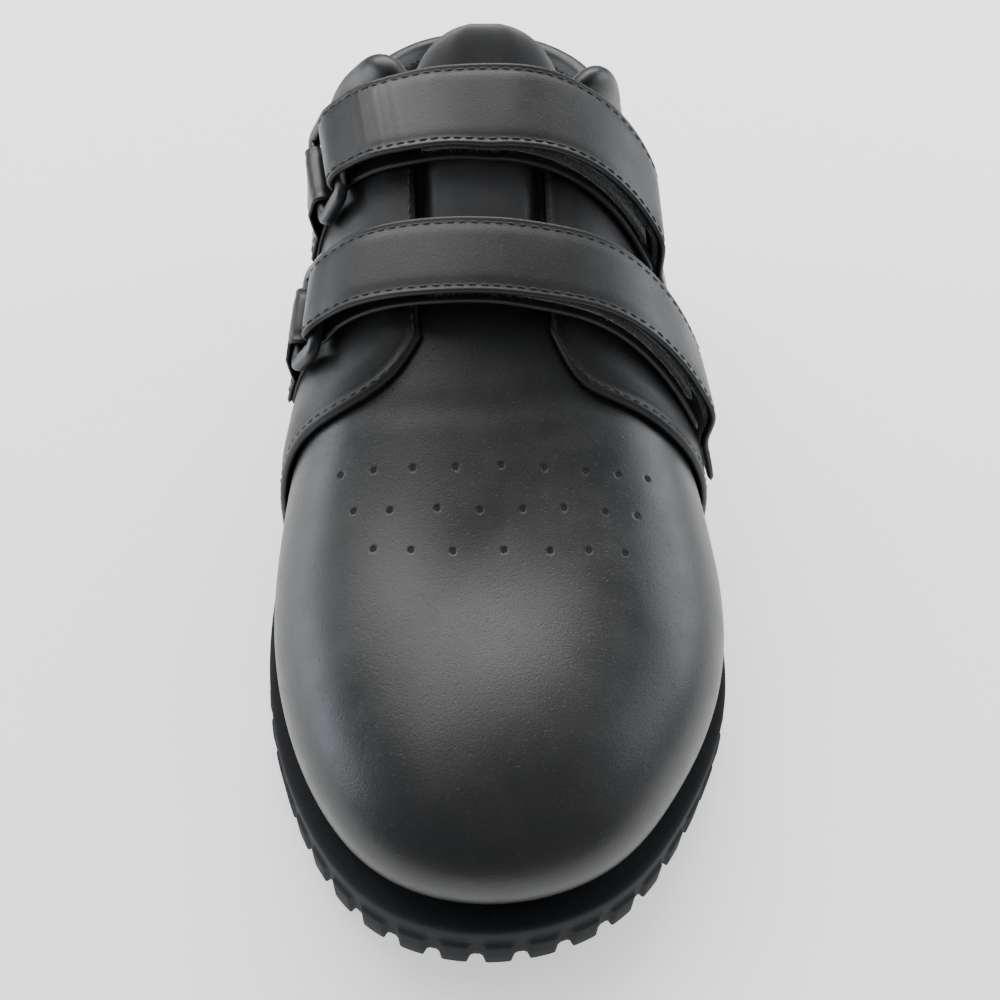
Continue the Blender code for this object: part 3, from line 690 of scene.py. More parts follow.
def makeUpper():
    closedAt = angleAt(throat["end"])
    back = closedAt * np.linspace(0, 1, vamp["backRibs"])
    angles = np.concatenate([back, np.linspace(closedAt, math.pi, vamp["ribs"] - vamp["backRibs"])[1:]])
    grids, faces = [], []
    for side in (1, -1):
        tops = edgeUp(side, shareAt(angles), 2 * wall["fit"], wall["fit"], throat["end"])
        ups = tops[:, None] * np.linspace(0, 1, vamp["ups"])[None, :]
        base = rib(side, angles[:, None], ups)
        faces.extend(gridFaces(len(angles), vamp["ups"], len(grids) * ups.size, side < 0).tolist())
        grids.append(base + normalAt(side, angles[:, None], ups) * vampRelief(base)[..., None])
    closed = shareAt(angles) >= throat["end"] - 1e-6
    ridge = (grids[0][closed, -1] + grids[1][closed, -1]) / 2  # both sides meet here
    grids[0][closed, -1] = grids[1][closed, -1] = ridge
    points = np.vstack([grid.reshape(-1, 3) for grid in grids])
    # the ribs meet in one point over the toe: a smooth sheet is laid through the skin round it
    flat = (points[:, :2] - rib(1, math.pi, 1.0)[:2]) / vamp["poleReach"]
    near = np.hypot(flat[:, 0], flat[:, 1]) < 1
    flat = flat[near]
    far = np.hypot(flat[:, 0], flat[:, 1])
    terms = np.stack([flat[:, 0]**i * flat[:, 1]**j for i in range(6) for j in range(6 - i)], -1)
    weight = smoothStep(far, 0.15, 0.6) + 0.001
    sheet = terms @ np.linalg.lstsq(terms * weight[:, None], points[near, 2] * weight, rcond=None)[0]
    points[near, 2] += (sheet - points[near, 2]) * smoothStep(far, 0.9, 0.35)
    piece = newPiece("upperShell", points, faces, vampLeather, liningCloth)
    bm = bmesh.new()
    bm.from_mesh(piece.data)
    bmesh.ops.remove_doubles(bm, verts=bm.verts, dist=2e-5)
    bm.to_mesh(piece.data)
    bm.free()
    thick = piece.modifiers.new("thickness", "SOLIDIFY")
    thick.thickness, thick.offset, thick.use_even_offset = wall["upper"], -1.0, True
    thick.material_offset = 1
    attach(piece, "root")
    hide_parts("upper")


makeUpper()
print("upper ready")

# Quarters: padded side panels with a folded, stitched edge
quarter = {
    "foot": 0.014,
    "backSeam": 0.0008,
    "edgeRadius": 0.0019,
    "pad": 0.00075,
    "stitchInset": 0.0027,
    "grooveWidth": 0.0007,
    "grooveDepth": 0.00035,
    "unevenness": 0.00012,
    "front": (
        # up, medial, lateral
        (0.00, 0.628, 0.645), (0.30, 0.616, 0.638), (0.58, 0.613, 0.633), (0.76, 0.615, 0.626),
        (0.87, 0.609, 0.621), (0.95, 0.593, 0.604), (1.00, 0.573, 0.573),
    ),
}


def makeQuarter(node, name, side):
    inset = quarter["stitchInset"]
    ups = np.linspace(quarter["foot"], 1, 64)
    shares = 1 - (1 - np.linspace(0, 1, 150)) ** 1.25
    ends = angleAt(rowsAt(ups, quarter["front"], 1 if side < 0 else 2))
    start = angleAt(quarter["backSeam"])
    angles = start + shares[:, None] * (ends[None, :] - start)
    fineAlong = np.linspace(0, throat["facingEnd"], 500)
    fineTop = edgeUp(side, fineAlong, 0.0, wall["fit"], throat["facingEnd"] + 0.04)
    reach = ups[None, :] * np.interp(shareAt(angles), fineAlong, fineTop)
    outs = normalAt(side, angles, reach)
    base = rib(side, angles, reach)
    inner = base + outs * wall["quarterGap"]
    edge = np.full(angles.shape, 9.0)  # how far each point is from the front, top and back edges
    for line in (base[-1], base[:, -1], base[0]):
        lengths = lengthAlong(line)
        fine = resample(line, lengths, np.linspace(0, lengths[-1], 500))
        for i, row in enumerate(base):
            edge[i] = np.minimum(edge[i], np.linalg.norm(row[:, None] - fine[None], axis=2).min(1))
    x, y, z = (base[..., k] * 1000 for k in range(3))
    rounded = roundEdge(edge, quarter["edgeRadius"])
    groove = np.exp(-((edge - inset) / quarter["grooveWidth"]) ** 2)
    padded = smoothStep(edge, inset, 0.008) - 0.35 * smoothStep(edge, 0.012, 0.03)
    lift = wall["quarter"] * (0.25 + 0.75 * rounded) + quarter["pad"] * padded
    lift = lift - quarter["grooveDepth"] * groove
    uneven = ripple(x, y, z, 30.0, 11 if side < 0 else 12) * smoothStep(edge, 0.003, 0.01)
    outer = inner + outs * (lift + quarter["unevenness"] * uneven)[..., None]
    panel = shell(name, outer, inner, panelLeather)
    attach(panel, "root")
    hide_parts(node)
    front = insetLine(outer.swapaxes(0, 1), outs.swapaxes(0, 1), inset)
    sew(name + "Stitches", [front, insetLine(outer, outs, inset)], blackThread)


makeQuarter("quarter_medial", "quarterMedial", -1)
makeQuarter("quarter_lateral", "quarterLateral", 1)
print("quarters ready")


def makeCollar():
    reach = angleAt(collar["front"])
    turns = np.linspace(-1, 1, 221)
    stations = []
    for turn in turns:
        side = -1 if turn < 0 else 1
        angle = max(abs(turn) * reach, 0.012)
        along = shareAt(angle)
        top = edgeUp(side, along, 0.0, 0.0, throat["end"])[0]
        lift = (onQuarter - wall["upper"]) / 2 + rowsAt(along, collar["rolls"], 3)
        upward = unit(rib(side, angle, top) - rib(side, angle, top - 0.01))
        wing, inner = float(smoothStep(along, 0.20, 0.29)), float(smoothStep(along, 0.20, 0.30))
        thick = rowsAt(along, collar["rolls"], 2) * (1 + collar["wingSwell"] * wing)
        half = collar["rollThickness"] / 2 * thick
        stations.append((skin(side, angle, top, lift), normalAt(np.float64(side), angle, top), upward,
                         rollAt(along) * (1 + collar["wingRise"] * wing), half, inner))
    bases, outs, upwards, talls, halves, wings = (
        softened(np.array([np.atleast_1d(station[k]) for station in stations], float), 4) for k in range(6))
    outs, upwards = unit(outs), unit(upwards)
    around = np.linspace(0, 2 * math.pi, 29)[:-1]
    across, up = np.cos(around), np.sin(around)
    seam = 1 - collar["seamDip"] * np.exp(-((around - collar["seamTurn"]) / collar["seamWidth"]) ** 2)
    short, medium, long = collar["puckerLengths"]
    sections = []
    for i, (near, length) in enumerate(zip(np.abs(turns), lengthAlong(bases))):
        taper = max(0.0, (near - collar["taperFrom"]) / (1 - collar["taperFrom"])) ** 2
        size = math.sqrt(max(0.04, 1 - taper * 0.96))
        pucker = 1 + collar["pucker"] * math.sin(length / short + 2 * math.sin(length / medium))
        pucker = pucker + collar["pucker"] * math.sin(length / long)
        wide = halves[i, 0] * np.sign(across) * np.abs(across) ** 0.9 * size * pucker * seam
        wide = wide * (1 + collar["wingIn"] * wings[i, 0] * (across < 0))
        high = talls[i, 0] / 2 * (1 + up * size)
        high = high + collar["seamGap"] * np.clip(high / talls[i, 0], 0, 1) - collar["tuck"] * (up < -0.5)
        sections.append(bases[i] + outs[i] * wide[:, None] + upwards[i] * high[:, None])
    piece = loft("collarRoll", sections, softLeather)
    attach(piece, "root")
    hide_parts("collar_padding")
    sections = np.array(sections)
    away = (sections[:, 11] - sections.mean(1))[6:-6]  # the seam inside, short of both ends
    sew("collarStitches", [(sections[6:-6, 11] + away * 0.02, unit(away))], blackThread)


makeCollar()
print("collar ready")

# Tongue
tongue = {
    "width": 0.058,
    "tip": 0.0165,
    "tipLean": (0, 0.62, 0.78),
    "clearance": 0.0012,
    "fullness": 7,
    "topSpread": 0.0056,
    "rows": (
        # along, lift, width, thickness
        (0.556, -0.0042, 0.56, 0.0018), (0.530, -0.0040, 0.62, 0.0022), (0.500, -0.0010, 0.72, 0.0036),
        (0.460, 0.0015, 0.78, 0.0055), (0.415, 0.0026, 0.82, 0.0068), (0.375, 0.0030, 0.70, 0.0075),
        (0.340, 0.0050, 0.62, 0.0078),
    ),
}


def makeTongue():
    across = np.sin(np.linspace(-1, 1, 41) * math.pi / 2)
    ups = np.linspace(0, 1, 801)
    under = -wall["upper"] - wall["tongueGap"]
    rings = []
    for along in np.linspace(0.556, 0.340, 70):
        lift, width, thickness = (rowsAt(along, tongue["rows"], k) for k in (1, 2, 3))
        angle = angleAt(along)
        spread = tongue["topSpread"] * float(smoothStep(along, 0.385, 0.345))
        half = tongue["width"] / 2 * width + spread * 0.6
        reach = rowsAt(along, throat["rows"], 2) - tongue["clearance"] + spread
        middle = throatMiddle(along)
        outer, inner = [], []
        for share in across:
            side = -1.0 if share < 0 else 1.0
            wanted = abs(share) * half
            line = rib(side, np.full_like(ups, angle), ups)
            reached = side * (line[:, 0] - middle) <= wanted
            k = int(np.argmax(reached)) if reached.any() else len(ups) - 1
            crown = 1 - min(1.0, (wanted / reach) ** tongue["fullness"])
            high = under + (lift - under) * max(0.0, crown)
            away = normalAt(np.float64(side), angle, ups[k])
            away[0] *= abs(share)
            point = line[k].copy()
            point[0] = middle + side * wanted
            thin = math.sqrt(max(0.0, 1 - abs(share) ** 12))
            body = thickness * (1 - 0.55 * share**2)
            outer.append(point + away * (high - body * 0.5 * (1 - thin)))
            inner.append(point + away * (high - body * (0.5 + 0.5 * thin)))
        rings.append(np.array(outer + inner[::-1]))
    rings = np.array(rings)
    rings = softened(rings.reshape(len(rings), -1), 3, held=True).reshape(rings.shape)
    final = rings[-1]
    centre = final.mean(0)
    rise = tongue["tip"] * np.array(tongue["tipLean"])
    tip = []
    for step in np.linspace(0, 1, 26)[1:]:
        narrower = math.sqrt(1 - 0.96 * step**2.3)
        thinner = math.sqrt(1 - 0.93 * step**4.5)
        tip.append(centre + rise * step + (final - centre) * [narrower, thinner, thinner])
    rings = np.concatenate([rings, tip])
    piece = loft("tonguePad", rings, tongueLeatherPaintedLit)
    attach(piece, "root")
    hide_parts("tongue")
    top = rings[-36:-3]
    facing = unit(final[:41].mean(0) - final[41:].mean(0))
    arch = np.concatenate([top[:, 4], top[::-1, 36]]) + facing * 0.0001
    sew("tongueStitches", [sameOut(arch, facing)], blackThread)


makeTongue()
print("tongue ready")

# Straps with their tapes, rings and chapes
strap = {
    "thickness": 0.0017,
    "widths": {"upper": 0.0250, "lower": 0.0215},
    "tapeInset": 0.0020,
    "pile": 0.0013,
    "hook": 0.0010,
    "settle": 0.07,
    "settleEarly": 0.025,
    "press": 0.0013,
    "stitchInset": 0.0020,
    "step": 0.0009,
    "clear": 0.05,
    "tapeShort": 0.006,
    "grooveWidth": 0.0006,
    "grooveDepth": 0.00022,
    "pillow": 0.00016,
    "wave": 0.00010,
    "waveLength": 0.0085,
    "slips": {"upper": 0.0042, "lower": 0.0022},
    "ends": {
        # places round the foot: fold, anchor, free end, first and last of the tape
        "upper": (-0.395, 0.470, 0.560, -0.180, 0.440),
        "lower": (-0.445, 0.600, 0.745, -0.200, 0.570),
    },
    "wrinkles": (
        # place from the fold, height, width
        (0.0050, 0.00012, 0.0006), (0.0086, 0.00020, 0.0007), (0.0106, 0.00016, 0.0005),
        (0.0128, 0.00022, 0.0006), (0.0150, 0.00015, 0.0005), (0.0181, 0.00014, 0.0007),
    ),
    "upper": (
        # around, front, back, lift of the front, lift of the back
        (-0.440, 0.413, 0.339, 0.0000, 0.0012), (-0.350, 0.417, 0.344, 0.0000, 0.0012),
        (-0.220, 0.427, 0.354, 0.0000, 0.0008), (-0.080, 0.431, 0.358, 0.0000, 0.0014),
        (0.000, 0.434, 0.360, 0.0000, 0.0020), (0.120, 0.435, 0.361, 0.0000, 0.0014),
        (0.200, 0.437, 0.363, 0.0000, 0.0004), (0.300, 0.443, 0.369, 0.0000, 0.0000),
        (0.400, 0.456, 0.380, 0.0000, 0.0000), (0.480, 0.472, 0.396, 0.0000, 0.0000),
        (0.620, 0.506, 0.430, 0.0000, 0.0000),
    ),
    "lower": (
        (-0.480, 0.552, 0.485, 0.0006, 0.0000), (-0.400, 0.548, 0.481, 0.0008, 0.0000),
        (-0.300, 0.550, 0.483, 0.0008, 0.0000), (-0.150, 0.557, 0.490, 0.0008, 0.0000),
        (0.000, 0.561, 0.494, 0.0010, 0.0000), (0.120, 0.564, 0.497, 0.0008, 0.0000),
        (0.250, 0.566, 0.499, 0.0008, 0.0000), (0.350, 0.573, 0.506, 0.0006, 0.0000),
        (0.430, 0.583, 0.515, 0.0003, 0.0000), (0.520, 0.595, 0.527, 0.0000, 0.0000),
        (0.640, 0.610, 0.541, 0.0000, 0.0000), (0.800, 0.627, 0.557, 0.0000, 0.0000),
    ),
}
ring = {"bar": 0.0032, "side": 0.0046, "depth": 0.0145, "play": 0.0008, "corner": 0.0022}
chape = {"thickness": 0.0012, "inset": 0.0022, "length": 0.017, "sunk": 0.3, "stitchInset": 0.0018}


def runPath(kind, arounds, lifts, slip=0.0):
    # middles, across and outward directions of a run of the strap; slip moves it towards the toe
    rows = strap[kind]
    side = np.where(arounds < 0, -1.0, 1.0)
    up = 1 - np.abs(arounds)
    edges, outs = [], []
    for column, extra in ((1, 3), (2, 4)):
        angle = angleAt(rowsAt(arounds, rows, column))
        edges.append(skin(side, angle, up, lifts + rowsAt(arounds, rows, extra)))
        outs.append(normalAt(side, angle, up))
    across = unit(edges[1] - edges[0])
    middle = (edges[0] + edges[1]) / 2 - across * (slip * smoothStep(arounds, -0.05, 0.45))[:, None]
    lengths = lengthAlong(middle)
    places = np.linspace(0, lengths[-1], int(lengths[-1] / strap["step"]))
    values = (middle, across, unit(outs[0] + outs[1]))
    middle, across, near = (softened(resample(value, lengths, places), 6, 0.9) for value in values)
    across = unit(across)
    out = unit(np.cross(across, unit(np.gradient(middle, axis=0))))
    return middle, across, out * np.sign(np.sum(out * near, axis=1))[:, None]


def settled(kind, arounds, lift):
    share = np.clip((arounds - strap["ends"][kind][1] + strap["settleEarly"]) / strap["settle"], 0, 1)
    drop = strap["thickness"] + strap["pile"] + 2 * wall["tapeGap"] + strap["press"]
    return lift - drop * share**2 * (3 - 2 * share)


def strip(name, middle, across, out, width, thickness, material, relief=None, grooves=True, edge=0.0007):
    # a flat strip with softly folded edges; relief lifts its outer face
    rim = np.linspace(0.86, 1, 6)[1:]
    flat = np.concatenate([-rim[::-1], np.linspace(-0.86, 0.86, 17), rim]) * width / 2
    inset = width / 2 - np.abs(flat)
    rounded = roundEdge(inset, edge, 0.02)
    groove = strap["grooveDepth"] * np.exp(-((inset - strap["stitchInset"]) / strap["grooveWidth"]) ** 2)
    pillow = strap["pillow"] * smoothStep(inset, strap["stitchInset"], strap["stitchInset"] + 0.003)
    padded = pillow - groove if grooves else 0 * flat
    run = lengthAlong(middle)
    ending = roundEdge(np.minimum(run, run[-1] - run), edge, 0.04)
    relief = np.zeros(len(run)) if relief is None else relief
    rings = []
    for m, a, o, end, extra in zip(middle, across, out, ending, relief):
        line = m + a * flat[:, None]
        thick = thickness / 2 * rounded * end
        top = line + o * (thick + padded * end + extra)[:, None]
        rings.append(np.vstack([top, (line - o * (thick - extra * 0.6)[:, None])[::-1]]))
    piece = loft(name, rings, material)
    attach(piece, "root")
    return piece


fibre = {"count": 420, "low": 0.0003, "high": 0.0011, "radius": 0.00005, "spread": 0.0005}


def fuzz(name, edges):
    # loose fibres standing out of a tape: each edge is (points, outward directions, upward directions)
    vertices, faces = [], []
    for points, outs, ups in edges:
        for _ in range(fibre["count"]):
            i = random.randrange(len(points))
            root = points[i] + ups[i] * random.uniform(-fibre["spread"], fibre["spread"])
            lean = unit(outs[i] + np.array([random.gauss(0, 0.5) for _ in range(3)]))
            length = random.uniform(fibre["low"], fibre["high"])
            bend = np.array([random.gauss(0, 0.35) for _ in range(3)])
            sideways = unit(np.cross(lean, ups[i] + 1e-3))
            start = len(vertices)
            for t in (0, 0.5, 1):
                c = root + lean * length * t + bend * length * t * t
                r = fibre["radius"] * (1 - 0.7 * t)
                vertices += [c + sideways * r, c + ups[i] * r, c - sideways * r - ups[i] * r]
            faces.extend(gridFaces(3, 3, start, closed=True).tolist())
    piece = newPiece(name, vertices, faces, tapeCloth)
    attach(piece, "root")


def bridge(first, second, flip):
    # short smooth lead from the end of one run to the start of the next
    start, end = first[0][-1], second[0][0]
    span = np.linalg.norm(end - start)
    t = np.linspace(0, 1, max(int(span / strap["step"]), 2) + 2)[1:-1, None]
    s = t * t * (3 - 2 * t)
    leave, arrive = unit(first[0][-1] - first[0][-3]), unit(second[0][2] - second[0][0])
    line = (1 - s) * start + s * end + span * ((t**3 - 2 * t**2 + t) * leave + (t**3 - t**2) * arrive)
    across = unit(first[1][-1] * (1 - s) + second[1][0] * s)
    return line, across, unit(first[2][-1] * flip * (1 - s) + second[2][0] * s)


def halfTurn(middle, across, first, out, radius, count):
    # round a bar, from below it to above it
    turns = np.linspace(-math.pi / 2, math.pi / 2, count)
    away = np.array([first * math.cos(turn) + out * math.sin(turn) for turn in turns])
    return middle + away * radius, np.repeat(across[None], count, 0), away


def makeStrap(kind):
    fold, anchor, free, tapeFrom, tapeTo = strap["ends"][kind]
    width, thickness, rows, gap = strap["widths"][kind], strap["thickness"], strap[kind], wall["tapeGap"]
    name = kind.capitalize()
    under = onQuarter + wall["strapGap"] + thickness / 2
    bar = under + thickness / 2 + wall["fit"] + ring["bar"] / 2
    radius = ring["bar"] / 2 + wall["fit"] + thickness / 2
    pile = under + thickness / 2 + gap + strap["pile"] / 2
    hook = pile + strap["pile"] / 2 + gap + strap["hook"] / 2
    over = hook + strap["hook"] / 2 + gap + thickness / 2
    frontAngle, backAngle = angleAt(rowsAt(fold, rows, 1)), angleAt(rowsAt(fold, rows, 2))
    front = skin(-1.0, frontAngle, 1 - abs(fold), bar + rowsAt(fold, rows, 3))
    back = skin(-1.0, backAngle, 1 - abs(fold), bar + rowsAt(fold, rows, 4))
    across = unit(back - front)
    middle = (front + back) / 2
    # the ring lies from the fold down to where its far bar rests on the quarter
    angle = angleAt((rowsAt(fold, rows, 1) + rowsAt(fold, rows, 2)) / 2)
    low = onQuarter + wall["strapGap"] + chape["thickness"] + wall["fit"] + ring["bar"] / 2
    lower = np.linspace(abs(fold), abs(fold) + 0.3, 301)
    places = skin(-1.0, angle, 1 - lower, low)
    reach = int(np.argmax(np.linalg.norm(places - middle, axis=1) >= ring["depth"] - ring["bar"]))
    down = places[reach] - middle
    down = unit(down - across * np.dot(down, across))
    out = np.cross(down, across)
    if np.dot(out, normalAt(np.float64(-1), frontAngle, 1 - abs(fold))) < 0:
        out = -out
    # under run up to the ring, round its bar and back over the foot
    nearFold = fold + strap["clear"]
    steps = (free - nearFold) / 20
    underRun = np.linspace(nearFold + math.floor((anchor - nearFold) / steps) * steps, nearFold, 240)
    overRun = np.linspace(nearFold, free, 260)
    u = runPath(kind, underRun, np.full_like(underRun, under), strap["slips"][kind])
    o = runPath(kind, overRun, settled(kind, overRun, over))
    foldPart = halfTurn(middle, across, down, out, radius, 22)
    tail = bridge(foldPart, o, 1)
    m, a, n = joined((u[0], u[1], -u[2]), bridge(u, foldPart, -1), foldPart, tail, o)
    lengths = lengthAlong(m)
    fromFold = lengths - lengths[-len(o[0]) - 1]
    relief = strap["wave"] * np.sin(lengths / strap["waveLength"]) * smoothStep(fromFold, 0, 0.01)
    if kind == "upper":
        for place, size, broad in strap["wrinkles"]:
            relief = relief + size * np.exp(-((fromFold - place) / broad) ** 2)
    piece = strip("strap" + name, m, a, n, width, thickness, strapLeather, relief)
    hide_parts("strap_" + kind)
    face, faceAcross, faceUp = joined([part[12:] for part in foldPart], tail, o)
    wide = width / 2 - strap["stitchInset"]
    raised = (thickness / 2 - 0.00012 + relief[-len(face):])[:, None]
    lines = [((face + faceAcross * sign * wide + faceUp * raised)[:-3], faceUp[:-3]) for sign in (-1, 1)]
    end = face[-4] + faceUp[-4] * (thickness / 2 - 0.0001)
    endLine = end + faceAcross[-4] * (np.linspace(-1, 1, 12) * wide)[:, None]
    lines.append(sameOut(endLine, faceUp[-4]))
    sew("strap" + name + "Stitches", lines, blackThread)
    tapeWidth = width - 2 * strap["tapeInset"]
    grid = nearFold + steps * np.arange(21)
    first, final = grid[grid >= tapeFrom][0], grid[grid <= tapeTo][-1]
    for tape, lift, stop, tall, share in (("pile", pile, final, strap["pile"], 1.0),
                                          ("hook", hook, free - strap["tapeShort"], strap["hook"], 0.25)):
        run = np.linspace(first, stop, 200)
        lifts = settled(kind, run, lift) if tape == "hook" else np.full_like(run, lift)
        tm, ta, tn = runPath(kind, run, lifts, strap["slips"][kind] * share)
        piece = strip(tape + name, tm, ta, tn, tapeWidth, tall, tapeCloth, grooves=False, edge=0.0003)
        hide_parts(tape + "_" + kind)
        sides = [(tm + ta * sign * tapeWidth / 2, ta * sign, tn) for sign in (-1, 1)]
        fuzz(tape + name + "Fibres", sides)
    makeRing(kind, middle, across, down, out)
    makeChape(kind, angle, lower[reach], middle + down * (ring["depth"] - ring["bar"]), across, down, out)


def makeRing(kind, middle, across, down, out):
    corner = ring["corner"]
    farX = strap["widths"][kind] / 2 + ring["play"] + ring["side"] / 2 - corner
    farY = ring["depth"] - ring["bar"] - corner
    path = []
    for x, y, start in ((farX, corner, -90), (farX, farY, 0), (-farX, farY, 90), (-farX, corner, 180)):
        for turn in np.radians(start + np.linspace(0, 90, 10)):
            path.append((x + corner * math.cos(turn), y + corner * math.sin(turn)))
    path = np.array(path)
    dense = []
    for point, nextPoint in zip(path, np.roll(path, -1, 0)):
        n = max(int(np.linalg.norm(nextPoint - point) / 0.0012), 1)
        dense += [point + (nextPoint - point) * t for t in np.linspace(0, 1, n + 1)[:-1]]
    dense = np.array(dense)
    forward = unit(np.roll(dense, -1, 0) - np.roll(dense, 1, 0))
    turns = np.linspace(0, 2 * math.pi, 21)[:-1]
    wide, deep = (np.sign(wave) * np.abs(wave) ** 0.62 / 2 for wave in (np.cos(turns), np.sin(turns)))
    rings = []
    for (x, y), (dx, dy) in zip(dense, forward):
        reach = wide * (ring["bar"] + (ring["side"] - ring["bar"]) * dy**2)
        rings.append(middle + across * (x + dy * reach)[:, None] + down * (y - dx * reach)[:, None]
                     + out * (deep * ring["bar"])[:, None])
    piece = loft("ring" + kind.capitalize(), rings, ringPlastic, closed=True)
    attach(piece, "root")
    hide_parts("ring_" + kind)


def makeChape(kind, angle, around, bar, across, down, out):
    name, thickness = "chape" + kind.capitalize(), chape["thickness"]
    halfWide = strap["widths"][kind] / 2 - chape["inset"]
    radius = ring["bar"] / 2 + 2 * wall["fit"] + thickness / 2
    puffed = onQuarter + wall["strapGap"] + thickness / 2 + 2 * radius
    inner = onQuarter + wall["strapGap"] * chape["sunk"] + thickness / 2
    outer = inner + thickness
    ups = 1 - np.linspace(around, around + 0.3, 301)
    run = lengthAlong(skin(-1.0, angle, ups, inner))
    steps = np.linspace(0.15, 1, 30)
    tail = np.interp(steps * chape["length"], run, ups)

    def flatOn(up, lift):
        tiny = 1e-3
        speed = (rib(-1.0, angle + tiny, up) - rib(-1.0, angle - tiny, up)) / (2 * tiny)
        ends = [angle + sign * halfWide / np.linalg.norm(speed, axis=-1) for sign in (1, -1)]
        front, back = (skin(-1.0, end, up, lift) for end in ends)
        outward = unit(sum(normalAt(-np.ones_like(up), end, up) for end in ends))
        return (front + back) / 2, unit(back - front), outward

    under = flatOn(tail[::-1], np.full_like(tail, inner))
    top = flatOn(tail, puffed + (outer - puffed) * np.minimum(1.0, (steps - 0.05) * 2.2))
    loop = halfTurn(bar, across, -down, out, radius, 18)
    m, a, n = joined((under[0], under[1], -under[2]), loop, top)
    piece = strip(name, m, a, n, 2 * halfWide, thickness, strapLeather, edge=0.0005)
    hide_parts("chape_" + kind)
    face = top[0] + top[2] * thickness * 0.5
    wide = halfWide - chape["stitchInset"]
    lines = [((face + top[1] * sign * wide)[8:27], top[2][8:27]) for sign in (-1, 1)]
    for i in (9, 26):
        lines.append(sameOut(face[i] + top[1][i] * np.linspace(-wide, wide, 10)[:, None], top[2][i]))
    sew(name + "Stitches", lines, blackThread)


makeStrap("upper")
makeStrap("lower")
print("straps ready")

# Sole and insole
sole = {
    "flange": 0.0032,
    "lugPitch": 0.0098,
    "lugProud": 0.0009,
    "lugHeight": 0.0085,
    "grooveDepth": 0.0028,
    "lugLength": 0.010,
    "lugShare": 0.58,
    "draft": 0.10,
    "archRelief": 0.0018,
    "arch": (0.30, 0.54),
    "insole": 0.0035,
    "insoleInset": 0.0050,
}


def outline(side, angle, out):
    tiny = 1e-3
    a = np.clip(angle, tiny, math.pi - tiny)
    along = planAt(side, a + tiny) - planAt(side, a - tiny)
    away = unit(np.stack([-along[..., 1], along[..., 0]], -1) * side)
    ends = (angle < 1e-6) | (angle > math.pi - 1e-6)
    away[ends, 0] = 0
    away[ends, 1] = np.where(angle[ends] < 1, 1.0, -1.0)
    return planAt(side, angle) + away * np.asarray(out)[..., None]


def ringPoints(angles, out, height):
    right = np.column_stack([outline(1, angles, out), height])
    left = np.column_stack([outline(-1, angles, out), height])
    return np.vstack([right, left[-2:0:-1]])


def ladderPiece(name, rings, material, node):
    rings = np.asarray(rings)
    rows, count = rings.shape[:2]
    faces = gridFaces(rows, count, closed=True).tolist()
    for base, flip in ((0, True), ((rows - 1) * count, False)):
        for j in range(count // 2):
            corners = [base + j, base + j + 1, base + (count - j - 1) % count, base + (count - j) % count]
            corners = [c for i, c in enumerate(corners) if c not in corners[:i]]
            faces.append(corners[::-1] if flip else corners)
    piece = closedPiece(name, rings.reshape(-1, 3), faces, material)
    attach(piece, "root")
    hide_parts(node)


def makeSole():
    fine = np.linspace(0, math.pi, 2001)
    flange = np.full_like(fine, sole["flange"])
    middle = (outline(1, fine, flange) - outline(-1, fine, flange) * [1, -1]) / 2
    middle[:, 1] = heelY - last["length"] * shareAt(fine)
    arc = lengthAlong(middle)
    lugs = round(arc[-1] / sole["lugPitch"])
    places = np.linspace(0, arc[-1], lugs * 14 + 1)
    angles = np.interp(places, arc, fine)
    phase = (places / arc[-1] * lugs) % 1.0
    fromLug = np.minimum(phase, 1 - phase)
    onLug = 1 - smoothStep(fromLug, sole["lugShare"] / 2 - 0.02, sole["lugShare"] / 2 + sole["draft"])
    along = shareAt(angles)
    arch = np.clip((along - sole["arch"][0]) / (sole["arch"][1] - sole["arch"][0]), 0, 1)
    floor = springAt(along) + sole["archRelief"] * np.sin(math.pi * arch) ** 2
    top = seatHeight(angles) - wall["fit"]
    foot = floor + sole["lugHeight"]
    out = np.full_like(angles, sole["flange"])
    proud = sole["lugProud"] * onLug
    tread = floor + sole["grooveDepth"] * (1 - onLug)
    sections = (
        # out from the outline, height
        (out - 0.010, top), (out - 0.0016, top), (out - 0.0008, top - 0.0001), (out - 0.0002, top - 0.0005),
        (out, top - 0.0012), (out + 0.0001, (top + foot) / 2 + 0.001), (out, foot + 0.0014),
        (out + proud * 0.35, foot + 0.0008), (out + proud * 0.85, foot + 0.0003),
        (out + proud, foot - 0.0004), (out + proud, (foot + tread) / 2), (out + proud, tread + 0.0006),
        (out + proud - 0.0005, tread + 0.00005), (out - 0.004, tread), (out - sole["lugLength"], floor),
    )
    rings = [ringPoints(angles, *section) for section in sections]
    ladderPiece("soleUnit", rings, soleRubber, "sole")


def makeInsole():
    angles = np.linspace(0, math.pi, 120)
    seat = seatHeight(angles)
    out = np.full_like(angles, -wall["upper"] - sole["insoleInset"])
    top = seat + sole["insole"]
    sections = ((out - 0.006, top), (out - 0.0008, top), (out, top - 0.0008), (out, seat))
    rings = [ringPoints(angles, *section) for section in sections]
    ladderPiece("insoleSheet", rings, liningCloth, "insole")


makeSole()
makeInsole()
print("sole ready")

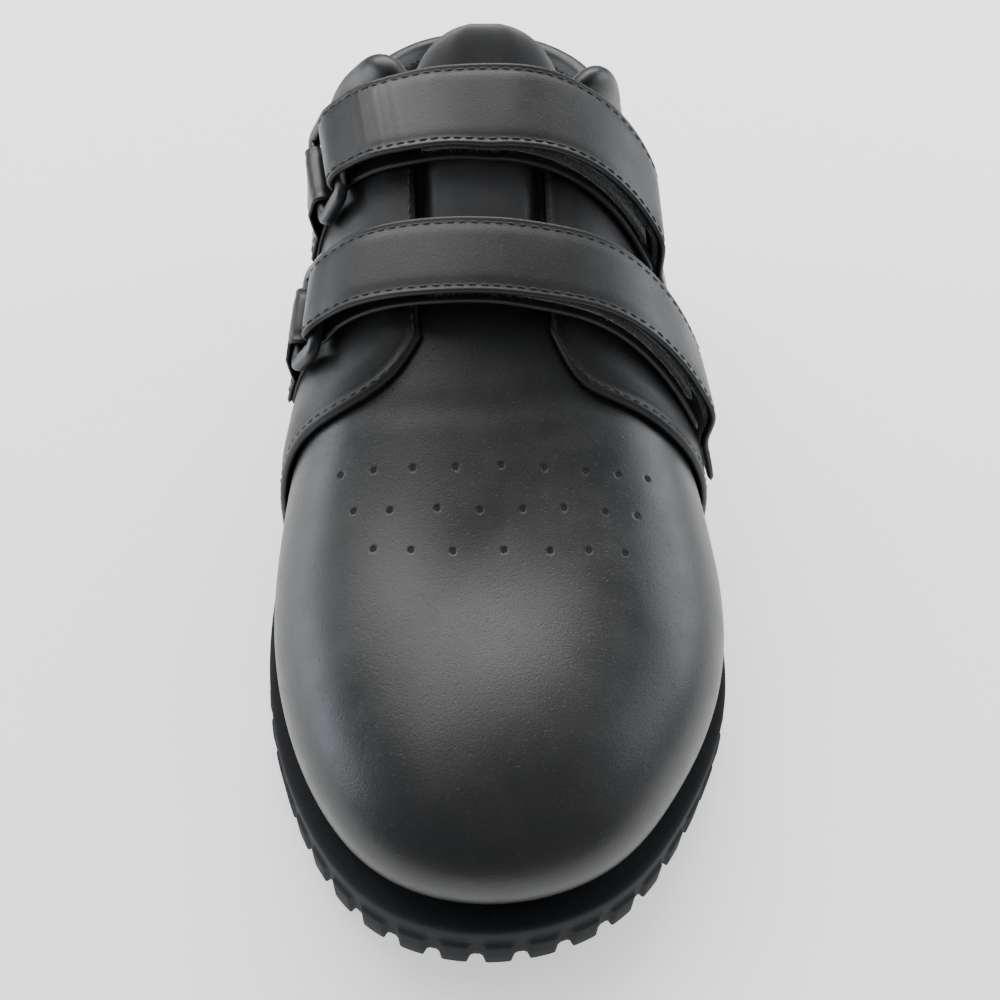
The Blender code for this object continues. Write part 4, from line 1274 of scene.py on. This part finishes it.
# Studio
studio = {
    "floor": (0.90, 0.90, 0.90),
    "floorGlow": 0.75,
    "world": (0.92, 0.95, 1.0),
    "worldStrength": 0.30,
    "lamps": (
        # name, place, target, width and height, watts, colour
        ("backPanel", (-0.12, 0.82, 1.10), (0, 0.0, 0.05), (2.0, 0.45), 27.0, (1.0, 0.99, 0.97)),
        ("topPanel", (-0.20, 0.36, 1.30), (0, 0.0, 0.05), (1.1, 0.4), 5.5, (1.0, 0.99, 0.98)),
        ("leftWindow", (-0.90, 0.15, 0.26), (0, -0.02, 0.05), (0.7, 0.4), 5.0, (0.84, 0.92, 1.0)),
        ("rightWindow", (0.85, 0.25, 0.40), (0, -0.02, 0.05), (0.7, 0.45), 5.0, (0.88, 0.94, 1.0)),
    ),
    "cameraPlace": (-0.01662, -0.22763, 0.23921),
    "cameraTarget": (-0.00008, -0.05006, 0.0500),
    "cameraRoll": 0.04,
    "lens": 36.0,
}


def makeFloor():
    material, _, surface, _ = newMaterial("paleFloor", 0.9, studio["floor"], 0.5)
    surface.inputs["Emission Color"].default_value = (1, 1, 1, 1)
    surface.inputs["Emission Strength"].default_value = studio["floorGlow"]
    newPiece("floor", [(-4, -4, 0), (4, -4, 0), (4, 4, 0), (-4, 4, 0)], [(0, 1, 2, 3)], material)


def aim(name, data, place, target, roll=0.0):
    # a lamp or camera that looks from its place at its target
    forward = unit(np.array(target) - np.array(place))
    right = unit(np.cross(forward, [0, 0, 1.0]))
    up = np.cross(right, forward)
    turned = right * math.cos(roll) + up * math.sin(roll)
    up = up * math.cos(roll) - right * math.sin(roll)
    thing = bpy.data.objects.new(name, data)
    thing.location = place
    thing.rotation_euler = Matrix(np.column_stack([turned, up, -forward]).tolist()).to_euler()
    bpy.context.scene.collection.objects.link(thing)
    return thing


def addLight(name, place, target, size, power, colour):
    light = bpy.data.lights.new(name, "AREA")
    light.shape, light.size, light.size_y = "RECTANGLE", size[0], size[1]
    light.energy, light.color = power, colour
    aim(name, light, place, target)


def makeCamera():
    data = bpy.data.cameras.new("photoCamera")
    data.lens, data.sensor_width, data.sensor_fit = studio["lens"], 36.0, "AUTO"
    data.clip_start, data.clip_end = 0.01, 50
    place, target = studio["cameraPlace"], studio["cameraTarget"]
    bpy.context.scene.camera = aim("photoCamera", data, place, target, studio["cameraRoll"])


makeFloor()
makeCamera()
for lamp in studio["lamps"]:
    addLight(*lamp)
world = bpy.data.worlds.new("studioWorld")
world.use_nodes = True
world.node_tree.nodes["Background"].inputs["Color"].default_value = (*studio["world"], 1)
world.node_tree.nodes["Background"].inputs["Strength"].default_value = studio["worldStrength"]
bpy.context.scene.world = world
print("studio ready")
